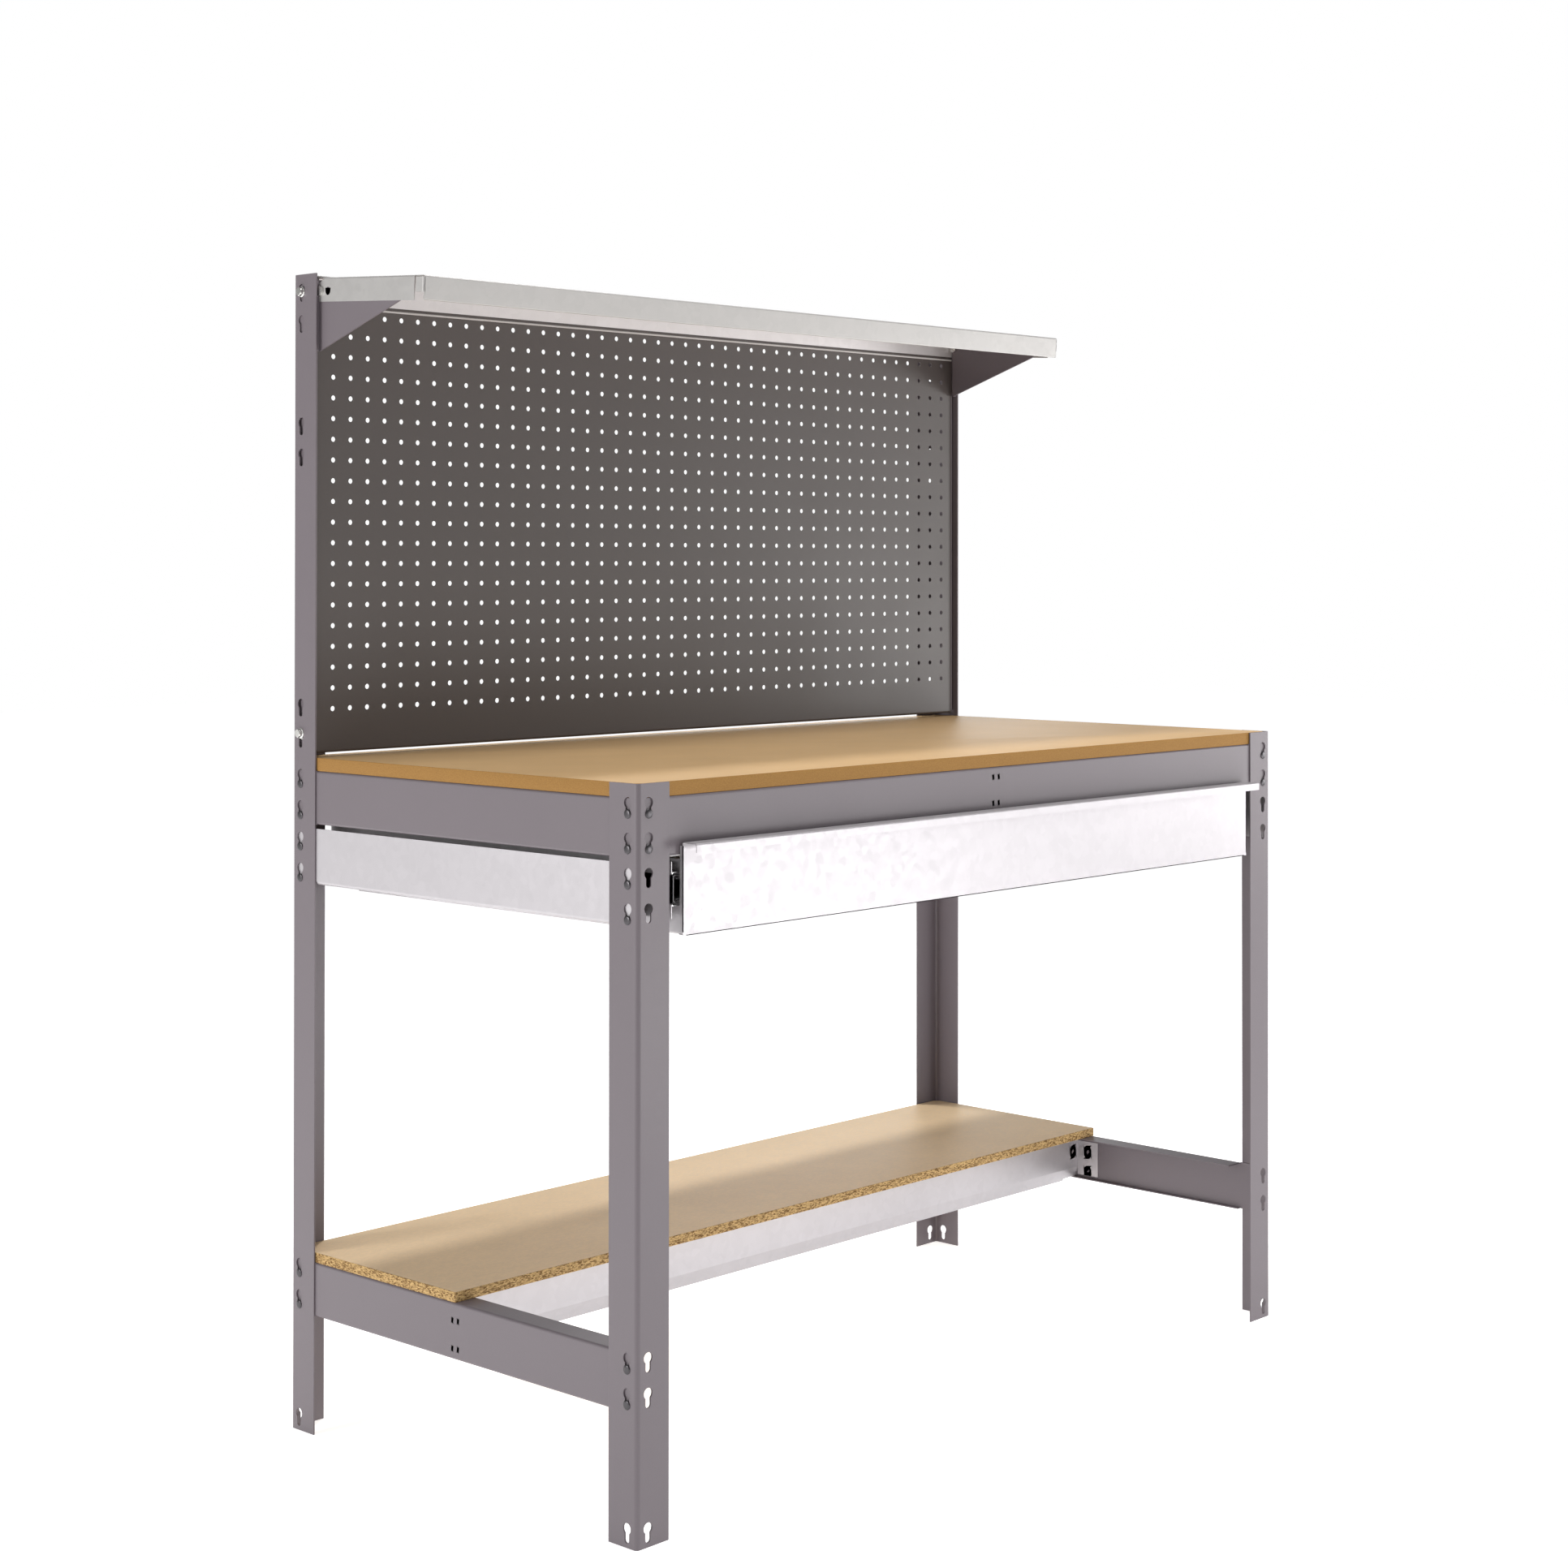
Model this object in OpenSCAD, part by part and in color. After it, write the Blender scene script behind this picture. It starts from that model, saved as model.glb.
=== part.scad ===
// Boltless steel workbench: perforated back panel, tray shelf, one drawer on ball-bearing slides.
// Origin: floor level, centre of the overall footprint. X across, Y to the rear, Z up. Millimetres.

/* [Frame] */
// Width across the outer faces of the posts
frame_w = 1180; // [940:10:1480]
// Depth across the outer faces of the posts
frame_d = 630; // [520:10:760]
// Height of the worktop surface and the front posts
bench_h = 820; // [680:10:990]
// Height of the rear posts
rear_h = 1410; // [1170:10:1700]
// Width of each leg of the post angle
post_leg = 46; // [40:1:56]
// Sheet thickness of the posts
post_t = 2; // [1.5:0.5:3]
// Outside bend radius of the posts
post_r = 5; // [4:0.5:8]

/* [Keyholes] */
// Diameter of the round entry of a keyhole
key_head_d = 12; // [11.6:0.1:13]
// Width of the narrow part of a keyhole
key_neck_w = 7.2; // [6.8:0.1:9]
// Distance from the top of a keyhole down to the seated rivet
key_drop = 18; // [16:0.5:20]
// Distance from the post corner to the keyhole centre line
key_inset = 16; // [14:0.5:20]
// Vertical pitch of the keyholes
key_pitch = 38.1; // [34:0.1:44]
// Top of the lowest keyhole above the floor
key_foot = 26.8; // [24:0.2:60]

/* [Beams] */
// Height of the beams
beam_h = 65; // [58:1:80]
// Width of the beam flanges
beam_flange = 30; // [20:1:36]
// Width of the stiffening lip under a beam
beam_lip = 8; // [4:1:14]
// Sheet thickness of the beams
beam_t = 1.5; // [1:0.25:2]
// Lower rivet above the bottom of a beam
rivet_low = 10; // [8:0.5:14]
// Diameter of the rivet shanks
rivet_d = 6.4; // [5:0.1:6.6]
// Diameter of the rivet heads
rivet_head_d = 10.5; // [9:0.1:11.4]
// Thickness of the rivet heads
rivet_head_t = 1.6; // [1:0.1:2.5]

/* [Boards] */
// Thickness of the worktop board
worktop_t = 16; // [12:1:22]
// Height of the top face of the lower shelf
shelf_h = 220; // [180:5:420]
// Thickness of the lower shelf board
shelf_t = 12; // [9:1:18]
// Front edge of the lower shelf behind the front posts
shelf_set_back = 314; // [200:2:380]

/* [Back panel] */
// Gap between the worktop and the panel
panel_lift = 5; // [3:0.5:20]
// Front face of the panel ahead of the rear faces of the posts
panel_front = 38; // [34:0.5:42]
// Sheet thickness of the panel
panel_t = 1; // [0.8:0.1:1.5]
// Pitch of the perforation
hole_pitch = 25.4; // [20:0.1:50]
// Diameter of the perforation
hole_d = 6.5; // [5:0.1:9]

/* [Upper shelf] */
// Depth of the tray shelf
tray_d = 210; // [150:2:260]
// Height of the tray flanges
tray_h = 29.5; // [26:0.5:40]
// Sheet thickness of the tray
tray_t = 1; // [0.8:0.1:1.5]
// Forward slope of the tray in degrees
tray_slope = 3; // [0:0.1:3.5]

/* [Drawer] */
// Side walls of the drawer in from the outer faces of the posts
drawer_inset = 66; // [64:0.5:90]
// Clear depth between the drawer and the rear faces of the posts
drawer_rear_gap = 43; // [30:1:120]
// Height of the drawer front
drawer_front_h = 102; // [90:1:130]
// Height of the drawer side walls
drawer_side_h = 82; // [76:1:84]
// Sheet thickness of the drawer
drawer_t = 1; // [0.8:0.1:1.2]
// How far the pull lip stands ahead of the drawer front
pull_reach = 22; // [16:1:30]
// Clear depth between the slides and the rear faces of the posts
slide_rear_gap = 76; // [60:1:120]

/* [Hidden] */
$fn = 0;

// Clearances between parts
board_gap = 1;
sheet_gap = 0.4;
flange_clear = 2;
fold_leg = 1;
cut_over = 1;

// Frame planes: the pull lip and the rear rivet heads are the front and rear of the footprint
front_stand_off = 4;
y_front = -(frame_d + rivet_head_t - pull_reach - front_stand_off) / 2;
y_rear = y_front + frame_d;
x_post = frame_w / 2;

// Beam and board heights
top_beam_z = bench_h - worktop_t - beam_h;
low_beam_z = shelf_h - shelf_t - beam_h;
beam_end_gap = 6;
key_top_lift = rivet_low + key_drop;
bench_keys = [for (i = [-2:1]) top_beam_z + key_top_lift + i * key_pitch];
shelf_keys = [for (i = [0:1]) low_beam_z + key_top_lift + i * key_pitch];
front_keys = concat(bench_keys, shelf_keys, [key_foot]);
over_bench = 71;
below_top = [11.6, 175.1];
rear_keys = concat(front_keys, [for (i = [0:1]) bench_h + over_bench - i * key_pitch],
  [for (d = below_top) for (i = [0:1]) rear_h - d - i * key_pitch]);

// Hook slots that join the stiffeners to the beams
hook_w = 3.2;
hook_h = 6;
hook_pitch = 10.3;
hook_near = 12.5;
hook_far = 44.8;
hook_shift = 1.9;
hook_play = 0.3;

// Stiffeners
brace_t = 1.2;
brace_flange = 30;
brace_bend = 16;
brace_kick = 3;
brace_end = 38;
brace_end_lift = 10;
brace_end_low = 5;
brace_end_h = beam_h - brace_end_lift - brace_end_low;
brace_hook_in = 3;
window_w = 14;
window_h = 20;
window_pitch = 30;
window_edge = 12;
window_drop = 25.5;

// Back panel
panel_bottom = bench_h + panel_lift;
panel_top_gap = 2;
panel_top = rear_h - panel_top_gap;
panel_r = 3;
panel_return = 28;
panel_hem = 14;
bracket_t = 2;
panel_x = x_post - post_t - bracket_t;
panel_y = y_rear - panel_front;
first_row_drop = 47;
last_row_lift = 50;
side_margin = 25;
hole_cols = floor((2 * (panel_x - side_margin)) / hole_pitch) + 1;
hole_rows = floor((panel_top - first_row_drop - panel_bottom - last_row_lift) / hole_pitch) + 1;

// Panel bolts through the rear posts
bolt_d = 6;
bolt_af = 10;
bolt_flange_d = 13;
bolt_flange_t = 1.2;
bolt_head_h = 5.2;
nut_h = 5;
panel_bolt_lift = 29;
panel_bolt_drop = 21.3;
panel_bolt_low = bench_h + panel_bolt_lift;
panel_bolt_high = rear_h - panel_bolt_drop;
thread_over = 1;
panel_bolt_zs = [panel_bolt_low, panel_bolt_high];
bolt_hole_d = 6.4;
spacer_od = 16;

// Tray shelf on its two brackets
tray_side_gap = 6;
tray_x = x_post - tray_side_gap;
tray_back_gap = 2;
tray_y = panel_y - tray_back_gap;
tray_top_gap = 5;
tray_top = rear_h - tray_top_gap;
tray_r = 2;
tray_flap_front = 17;
tray_flap_rear = 5.5;
tray_flap_cut = [10, 7];
tray_tab = 14.5;
tray_tab_h = 20;
tray_hem = 6;
spare_hole_d = 10;
tray_bolt_in = 7.5;
tray_bolt_drop = 16.5;
spare_hole_in = 22.5;
tray_bolt_head_d = 12;
tray_bolt_head_t = 3;
bracket_x = tray_x - tray_t;
bracket_reach = 165;
bracket_low = 90;
bracket_nose = 38;
bracket_gap = 2.5;
bracket_leg_gap = 5.2;
bracket_leg_y = panel_y - bracket_leg_gap;
bracket_tail_gap = post_r + 0.5;
bolt_head_play = 1;

// Drawer, carriers and slides
drawer_x = x_post - drawer_inset;
front_over = 4;
front_x = drawer_x + front_over;
drawer_below = 88;
drawer_z = top_beam_z - drawer_below;
drawer_y = y_front - front_stand_off;
drawer_d = frame_d + front_stand_off - drawer_t - drawer_rear_gap;
drawer_top = drawer_z + drawer_front_h;
pull_drop = 10;
pull_r = 2;
front_return = 5;
front_foot = 12;
slide_t = 12.7;
slide_h = 35;
slide_lift = 51;
slide_z = drawer_z + slide_lift;
slide_front_gap = 4;
slide_y = y_front + slide_front_gap;
slide_l = frame_d - slide_front_gap - slide_rear_gap;
carrier_t = 1.2;
carrier_x = drawer_x + slide_t;
carrier_below = 73;
carrier_z = top_beam_z - carrier_below;
carrier_h = 68;
carrier_wall_h = 56;
carrier_r = 4;
carrier_floor_gap = 2;
member_t = 1.2;
outer_w = 11.7;
outer_r = 2;
middle_in = 3.4;
middle_w = 7.6;
middle_h = 28;
middle_t = 1;
middle_r = 1.5;
middle_set_back = 1;
inner_in = 6.2;
inner_h = 21;
inner_r = 1.8;
inner_ball_out = 0.8;
ball_r = 1.05;
ball_rows = 6;
cage_l = 200;
cage_start = 150;
cage_t = 0.5;
cage_leaf = 1;
leaf_over = 0.5;
cage_outer_in = 2.65;
cage_inner_in = 4.95;
screw_d = 4;
screw_head_d = 7;
screw_head_t = 1;
screw_end = 40;
screw_ys = [screw_end, slide_l / 2, slide_l - screw_end];
drawer_back_h = 70;
drawer_back_lift = 3;
drawer_back_gap = 2;
drawer_flange = 12;

// A bent sheet runs between two legs along x and y, with the outer corner of the bend at 0, 0
module sheet_angle(leg_x, leg_y, t, r) {
  difference() {
    intersection() {
      round_square(2 * leg_x, 2 * leg_y, r);
      square([leg_x, leg_y]);
    }
    translate([t, t]) round_square(2 * leg_x, 2 * leg_y, max(r - t, 0.2));
  }
}

// Channel with its web on x = 0 and both flanges reaching to x = w
module sheet_channel(w, h, t, r) {
  difference() {
    intersection() {
      round_square(2 * w, h, r);
      square([w, h]);
    }
    translate([t, t]) round_square(2 * w, h - 2 * t, max(r - t, 0.2));
  }
}

module round_square(w, h, r) {
  translate([r, 0]) square([w - 2 * r, h]);
  translate([0, r]) square([w, h - 2 * r]);
  for (x = [r, w - r]) for (y = [r, h - r]) translate([x, y]) circle(r = r);
}

// Obround standing upright about its centre
module obround(w, h) {
  for (s = [-1, 1]) translate([0, s * (h - w) / 2]) circle(d = w);
  square([w, h - w], center = true);
}

// Flat drawing placed in the plane across x, from x0 over a thickness
module along_x(x0, t) {
  translate([x0, 0, 0]) rotate([90, 0, 90]) linear_extrude(t) children();
}

// Flat drawing placed in the plane across y, from y0 over a thickness
module along_y(y0, t) {
  translate([0, y0 + t, 0]) rotate([90, 0, 0]) linear_extrude(t) children();
}

// Left or right half of the bench: children are drawn on the left
module on_side(right) {
  mirror([right ? 1 : 0, 0, 0]) children();
}

module at_corner(right, rear) {
  on_side(right)
    translate([-x_post, rear ? y_rear : y_front, 0])
      mirror([0, rear ? 1 : 0, 0])
        children();
}

module keyhole() {
  translate([0, -key_head_d / 2]) circle(d = key_head_d);
  translate([-key_neck_w / 2, -key_drop]) square([key_neck_w, key_drop - key_head_d / 2]);
  translate([0, -key_drop]) circle(d = key_neck_w);
}

module post(right, rear) {
  color([0.46, 0.44, 0.46])
  at_corner(right, rear)
    difference() {
      linear_extrude(rear ? rear_h : bench_h) sheet_angle(post_leg, post_leg, post_t, post_r);
      along_x(-cut_over, post_t + 2 * cut_over) post_keys(rear);
      along_y(-cut_over, post_t + 2 * cut_over) post_keys(rear);
    }
}

module post_keys(rear) {
  for (z = rear ? rear_keys : front_keys) translate([key_inset, z]) keyhole();
}

// Beam along +x from 0, its web on y = 0 and its flanges towards +y
module beam(length, hooks, shift) {
  flange_gap = post_leg + flange_clear - beam_end_gap;
  difference() {
    union() {
      along_x(flange_gap, length - 2 * flange_gap)
        difference() {
          sheet_channel(beam_flange, beam_h, beam_t, 2 * beam_t);
          translate([beam_lip, -cut_over]) square([beam_flange, beam_t + 2 * cut_over]);
        }
      translate([0, 0, 2 * beam_t]) cube([length, beam_t, beam_h - 4 * beam_t]);
      for (x = [0, length - flange_gap]) translate([x, 0, 0]) cube([flange_gap, beam_t, beam_h]);
    }
    along_y(-cut_over, beam_t + 2 * cut_over) {
      for (x = [key_inset - beam_end_gap, length - key_inset + beam_end_gap])
        for (i = [0:1]) translate([x, rivet_low + i * key_pitch]) circle(d = rivet_d);
      for (i = [-1, 1]) for (z = hooks)
        translate([length / 2 + shift + i * hook_pitch / 2, z])
          square([hook_w, hook_h], center = true);
    }
  }
}

high_hooks = [beam_h - hook_near, beam_h - hook_far];
low_hooks = [hook_near, hook_far];

module beam_across(rear, z, hooks, shift) {
  color([0.46, 0.44, 0.46])
  translate([0, rear ? y_rear : y_front, z]) mirror([0, rear ? 1 : 0, 0])
    translate([beam_end_gap - x_post, post_t, 0])
      beam(frame_w - 2 * beam_end_gap, hooks, shift);
}

module beam_side(right, z, hooks, shift) {
  color([0.46, 0.44, 0.46])
  on_side(right)
    translate([post_t - x_post, y_front + beam_end_gap, z]) rotate([0, 0, 90]) mirror([0, 1, 0])
      beam(frame_d - 2 * beam_end_gap, hooks, shift);
}

// Rivet along +y through a post and a beam web, its head outside the post
module rivet(grip) {
  tail_t = 1.2;
  tail_d = 9;
  translate([0, -rivet_head_t, 0]) rotate([-90, 0, 0]) {
    cylinder(d = rivet_head_d, h = rivet_head_t);
    cylinder(d = rivet_d, h = rivet_head_t + grip);
    translate([0, 0, rivet_head_t + grip]) cylinder(d = tail_d, h = tail_t);
  }
}

// Rivets of one corner, in the side leg and in the front or rear leg
module side_rivets(right, rear, z, grip) {
  at_corner(right, rear)
    for (i = [0:1]) translate([0, key_inset, z + rivet_low + i * key_pitch])
      rotate([0, 0, -90]) rivet(grip);
}

module cross_rivets(right, rear, z, grip) {
  at_corner(right, rear)
    for (i = [0:1]) translate([key_inset, 0, z + rivet_low + i * key_pitch]) rivet(grip);
}

module beam_rivets() {
  color([0.5, 0.48, 0.5])
  for (right = [false, true]) {
    for (rear = [false, true]) {
      cross_rivets(right, rear, top_beam_z, post_t + beam_t);
      side_rivets(right, rear, top_beam_z, post_t + beam_t);
      side_rivets(right, rear, low_beam_z, post_t + beam_t);
    }
    cross_rivets(right, true, low_beam_z, post_t + beam_t);
  }
}

// Board inside the posts with its corners cut to clear the bends of the posts
module board(y0, y1, t, cut) {
  x1 = x_post - post_t - board_gap;
  linear_extrude(t)
    difference() {
      translate([-x1, y0]) square([2 * x1, y1 - y0]);
      for (x = [-x1, x1]) for (y = cut)
        translate([x, y]) rotate(45) square(2 * post_r, center = true);
    }
}

module worktop() {
  y0 = y_front + post_t + board_gap;
  y1 = y_rear - post_t - board_gap;
  color([0.72, 0.6, 0.45])
  translate([0, 0, bench_h - worktop_t]) board(y0, y1, worktop_t, [y0, y1]);
}

module lower_shelf() {
  y1 = y_rear - post_t - board_gap;
  color([0.75, 0.63, 0.45])
  translate([0, 0, shelf_h - shelf_t]) board(y_front + shelf_set_back, y1, shelf_t, [y1]);
}

// Stiffener along +x: web on y = 0, end plates towards -y, top flange towards +y, top at z = 0
module brace(length, depth, hooks) {
  flange_cut = beam_flange + flange_clear;
  lip_cut = beam_lip + flange_clear;
  difference() {
    along_x(0, length) {
      translate([0, brace_bend - depth]) square([brace_t, depth - brace_bend]);
      polygon([[0, brace_bend - depth], [brace_kick, -depth],
        [brace_kick + brace_t, -depth], [brace_t, brace_bend - depth]]);
    }
    brace_windows(length);
    for (x = [-cut_over, length - flange_cut])
      translate([x, -cut_over, -beam_t - sheet_gap])
        cube([flange_cut + cut_over, brace_t + 2 * cut_over, beam_t + sheet_gap + cut_over]);
    for (x = [-cut_over, length - lip_cut])
      translate([x, -cut_over, -depth - cut_over])
        cube([lip_cut + cut_over, brace_t + brace_kick + 2 * cut_over,
          beam_t + sheet_gap + cut_over]);
  }
  along_x(flange_cut, length - 2 * flange_cut)
    translate([0, -brace_t]) square([brace_flange, brace_t]);
  for (end = [0, 1]) translate([end * length, 0, 0]) mirror([end, 0, 0])
    difference() {
      union() {
        translate([0, -brace_end, -brace_end_lift - brace_end_h])
          cube([brace_t, brace_end, brace_end_h]);
        brace_hooks(hooks);
      }
      along_x(-cut_over, brace_t + 2 * cut_over)
        for (i = [0:1])
          translate([-brace_end / 2, -window_drop - i * window_pitch])
            obround(window_w, window_h);
    }
}

// Hooks of one end plate that stand in the slots of the beam
module brace_hooks(hooks) {
  for (i = [0:1]) for (z = hooks)
    translate([-beam_t, -brace_end + brace_hook_in + i * hook_pitch - hook_w / 2 + hook_play,
      z - hook_h / 2 + hook_play])
      cube([beam_t, hook_w - 2 * hook_play, hook_h - 2 * hook_play]);
}

module brace_windows(length) {
  along_y(-cut_over, brace_t + brace_kick + 2 * cut_over)
    for (x = [window_edge, length - window_edge]) for (i = [0:1])
      translate([x, -window_drop - i * window_pitch]) obround(window_w, window_h);
}

// The web stands behind the hook slots by the width of the end plate
brace_web = brace_end - brace_hook_in - hook_pitch / 2;

module worktop_stiffener() {
  length = frame_d - 2 * (post_t + beam_t);
  color([0.78, 0.78, 0.8])
  translate([hook_shift + brace_web, y_front + post_t + beam_t, bench_h - worktop_t])
    rotate([0, 0, 90]) mirror([0, 1, 0])
      brace(length, beam_h, [for (z = high_hooks) z - beam_h]);
}

module shelf_cross_beam() {
  length = frame_w - 2 * (post_t + beam_t);
  color([0.78, 0.78, 0.8])
  translate([-length / 2, y_front + frame_d / 2 - hook_shift + brace_web, shelf_h - shelf_t])
    brace(length, beam_h, [for (z = low_hooks) z - beam_h]);
}

// The panel is flat between its four folded edges
module back_panel() {
  fold = panel_r + fold_leg;
  flat_x = panel_x - fold;
  flat_h = panel_top - panel_bottom - 2 * fold;
  color([0.4, 0.38, 0.39]) {
    along_y(panel_y, panel_t)
      difference() {
        translate([-flat_x, panel_bottom + fold]) square([2 * flat_x, flat_h]);
        for (i = [0:hole_cols - 1]) for (j = [0:hole_rows - 1])
          translate([(i - (hole_cols - 1) / 2) * hole_pitch,
            panel_top - first_row_drop - j * hole_pitch])
            circle(d = hole_d);
      }
    for (right = [false, true]) on_side(right)
      difference() {
        translate([-panel_x, panel_y, panel_bottom + fold])
          linear_extrude(flat_h) sheet_angle(fold, panel_return, panel_t, panel_r);
        panel_bolt_holes();
      }
    along_x(-flat_x, 2 * flat_x) {
      translate([panel_y, panel_bottom]) sheet_angle(panel_hem, fold, panel_t, panel_r);
      translate([panel_y, panel_top]) mirror([0, 1])
        sheet_angle(panel_hem, fold, panel_t, panel_r);
    }
  }
}

module panel_bolt_holes() {
  along_x(-x_post, post_leg)
    for (z = panel_bolt_zs) translate([y_rear - key_inset, z]) circle(d = bolt_hole_d);
}

// Hexagon flange bolt along +x with its seat on x = 0
module flange_bolt(shank) {
  rotate([0, -90, 0]) {
    cylinder(d = bolt_flange_d, h = bolt_flange_t);
    cylinder(d = bolt_af / cos(30), h = bolt_head_h, $fn = 6);
    translate([0, 0, -shank]) cylinder(d = bolt_d, h = shank);
  }
}

module hex_nut() {
  rotate([0, 90, 0])
    difference() {
      cylinder(d = bolt_af / cos(30), h = nut_h, $fn = 6);
      translate([0, 0, -cut_over]) cylinder(d = bolt_d, h = nut_h + 2 * cut_over);
    }
}

panel_grip = post_t + bracket_t + panel_t;

module panel_bolts() {
  color([0.8, 0.8, 0.78])
  for (right = [false, true]) for (z = panel_bolt_zs) on_side(right)
    translate([-x_post, y_rear - key_inset, z]) flange_bolt(panel_grip + nut_h + thread_over);
}

module panel_nuts() {
  color([0.8, 0.8, 0.78])
  for (right = [false, true]) for (z = panel_bolt_zs) on_side(right)
    translate([panel_grip - x_post, y_rear - key_inset, z]) hex_nut();
}

// Washers that fill the place of the bracket at the lower panel bolts
module panel_spacers() {
  color([0.8, 0.8, 0.78])
  for (right = [false, true]) on_side(right)
    along_x(post_t - x_post, bracket_t)
      translate([y_rear - key_inset, panel_bolt_low])
        difference() {
          circle(d = spacer_od);
          circle(d = bolt_hole_d);
        }
}

// Frame of the sloping tray: y = 0 at its rear edge, z = 0 at its top face
module in_tray() {
  translate([0, tray_y, tray_top]) rotate([tray_slope, 0, 0]) children();
}

function tray_under(y) = tray_top - tray_t - bracket_gap - (tray_y - y) * tan(tray_slope);

// Gusset inside the end flap of the tray, stepped outwards to the inside of the post
module shelf_bracket(right) {
  nose_y = panel_y - bracket_reach;
  tail_y = y_rear - bracket_tail_gap;
  low = tray_top - bracket_low;
  color([0.42, 0.4, 0.42])
  on_side(right)
    difference() {
      intersection() {
        translate([0, 0, low - cut_over]) linear_extrude(bracket_low + cut_over) {
          translate([-bracket_x, nose_y])
            square([bracket_t, bracket_leg_y + bracket_t - nose_y]);
          translate([post_t - x_post, bracket_leg_y])
            square([x_post - post_t - bracket_x + bracket_t, bracket_t]);
          translate([post_t - x_post, bracket_leg_y])
            square([bracket_t, tail_y - bracket_leg_y]);
        }
        along_x(-x_post, post_leg)
          polygon([[nose_y, tray_top - bracket_nose], [bracket_leg_y, low], [tail_y, low],
            [tail_y, tray_under(bracket_leg_y)], [bracket_leg_y, tray_under(bracket_leg_y)],
            [nose_y, tray_under(nose_y)]]);
      }
      panel_bolt_holes();
      in_tray() {
        along_x(-x_post, post_leg) translate([-tray_bolt_in, -tray_bolt_drop])
          circle(d = bolt_d);
        along_x(-x_post, x_post - bracket_x) translate([-tray_bolt_in, -tray_bolt_drop])
          circle(d = tray_bolt_head_d + bolt_head_play);
      }
    }
}

module upper_shelf() {
  flap_y = tray_flap_front - tray_d;
  color([0.8, 0.8, 0.82])
  in_tray() {
    along_x(tray_r - tray_x, 2 * (tray_x - tray_r)) tray_section();
    for (right = [false, true]) on_side(right) {
      difference() {
        translate([-tray_x, 0, 0]) mirror([0, 0, 1])
          along_y(flap_y, -tray_flap_rear - flap_y)
            sheet_angle(tray_r + fold_leg, tray_h, tray_t, tray_r);
        along_x(-tray_x - cut_over, tray_t + tray_r + 2 * cut_over)
          polygon([[-tray_flap_rear + cut_over, cut_over], [-tray_flap_rear + cut_over,
            -tray_flap_cut[1]], [-tray_flap_rear, -tray_flap_cut[1]],
            [-tray_flap_rear - tray_flap_cut[0], cut_over]]);
        along_x(-tray_x - cut_over, tray_t + 2 * cut_over) {
          translate([-tray_bolt_in, -tray_bolt_drop]) circle(d = bolt_hole_d);
          translate([-spare_hole_in, -tray_bolt_drop]) circle(d = spare_hole_d);
        }
      }
      translate([-tray_x, -tray_d, -tray_tab_h]) linear_extrude(tray_tab_h - tray_r)
        sheet_angle(tray_r + fold_leg, tray_tab, tray_t, tray_r);
    }
  }
}

// Sheet with a flange down at the front and the rear, the front one hemmed
module tray_section() {
  difference() {
    intersection() {
      translate([-tray_d, -2 * tray_h]) round_square(tray_d, 2 * tray_h, tray_r);
      translate([-tray_d, -tray_h]) square([tray_d, tray_h]);
    }
    translate([tray_t - tray_d, -2 * tray_h])
      round_square(tray_d - 2 * tray_t, 2 * tray_h - tray_t, tray_r - tray_t);
  }
  translate([tray_t - tray_d, -tray_h]) square([tray_t, tray_hem]);
}

tray_grip = tray_t + bracket_t + nut_h + thread_over;

module shelf_bolts() {
  color([0.8, 0.8, 0.78])
  for (right = [false, true]) on_side(right)
    in_tray() translate([-tray_x, -tray_bolt_in, -tray_bolt_drop]) rotate([0, -90, 0]) {
      cylinder(d = tray_bolt_head_d, h = tray_bolt_head_t);
      translate([0, 0, -tray_grip]) cylinder(d = bolt_d, h = tray_grip);
    }
}

module shelf_nuts() {
  color([0.8, 0.8, 0.78])
  for (right = [false, true]) on_side(right)
    in_tray() translate([tray_t + bracket_t - tray_x, -tray_bolt_in, -tray_bolt_drop]) hex_nut();
}

// Trough between the posts of one side that carries a slide on its inner wall
module drawer_carrier(right) {
  w = x_post - post_t - carrier_x;
  run_y = y_front + post_leg + carrier_floor_gap;
  run_l = frame_d - 2 * (post_leg + carrier_floor_gap);
  wall_l = run_y + run_l - slide_y;
  color([0.78, 0.77, 0.8])
  on_side(right)
    difference() {
      union() {
        along_y(run_y, run_l)
          translate([post_t - x_post, carrier_z]) carrier_section(w);
        along_x(post_t - x_post, carrier_t)
          translate([y_front + beam_end_gap, carrier_z + carrier_r])
            square([frame_d - 2 * beam_end_gap, carrier_h - carrier_r]);
        along_x(-carrier_x - carrier_t, carrier_t)
          translate([slide_y, carrier_z + carrier_r])
            square([wall_l, carrier_wall_h - carrier_r]);
      }
      along_x(-x_post, post_leg)
        for (y = [y_front + key_inset, y_rear - key_inset]) for (i = [-2:-1])
          translate([y, top_beam_z + rivet_low + i * key_pitch]) circle(d = rivet_d);
      along_x(-carrier_x - 2 * carrier_t, 3 * carrier_t)
        for (y = screw_ys) translate([slide_y + y, slide_z]) circle(d = screw_d);
    }
}

module carrier_section(w) {
  difference() {
    intersection() {
      round_square(w, 2 * carrier_h, carrier_r);
      square([w, carrier_h]);
    }
    translate([carrier_t, carrier_t])
      round_square(w - 2 * carrier_t, 2 * carrier_h, carrier_r - carrier_t);
    translate([w / 2, carrier_wall_h]) square([w, carrier_h]);
  }
}

module carrier_rivets() {
  color([0.85, 0.85, 0.84])
  for (right = [false, true]) for (rear = [false, true])
    side_rivets(right, rear, top_beam_z - 2 * key_pitch, post_t + carrier_t);
}

// Section of a slide member placed across x from the carrier wall, centred on the slide
module slide_member(right, dx, h, start) {
  on_side(right)
    along_y(slide_y + start, slide_l - start)
      translate([dx - carrier_x, slide_z - h / 2]) children();
}

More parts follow.
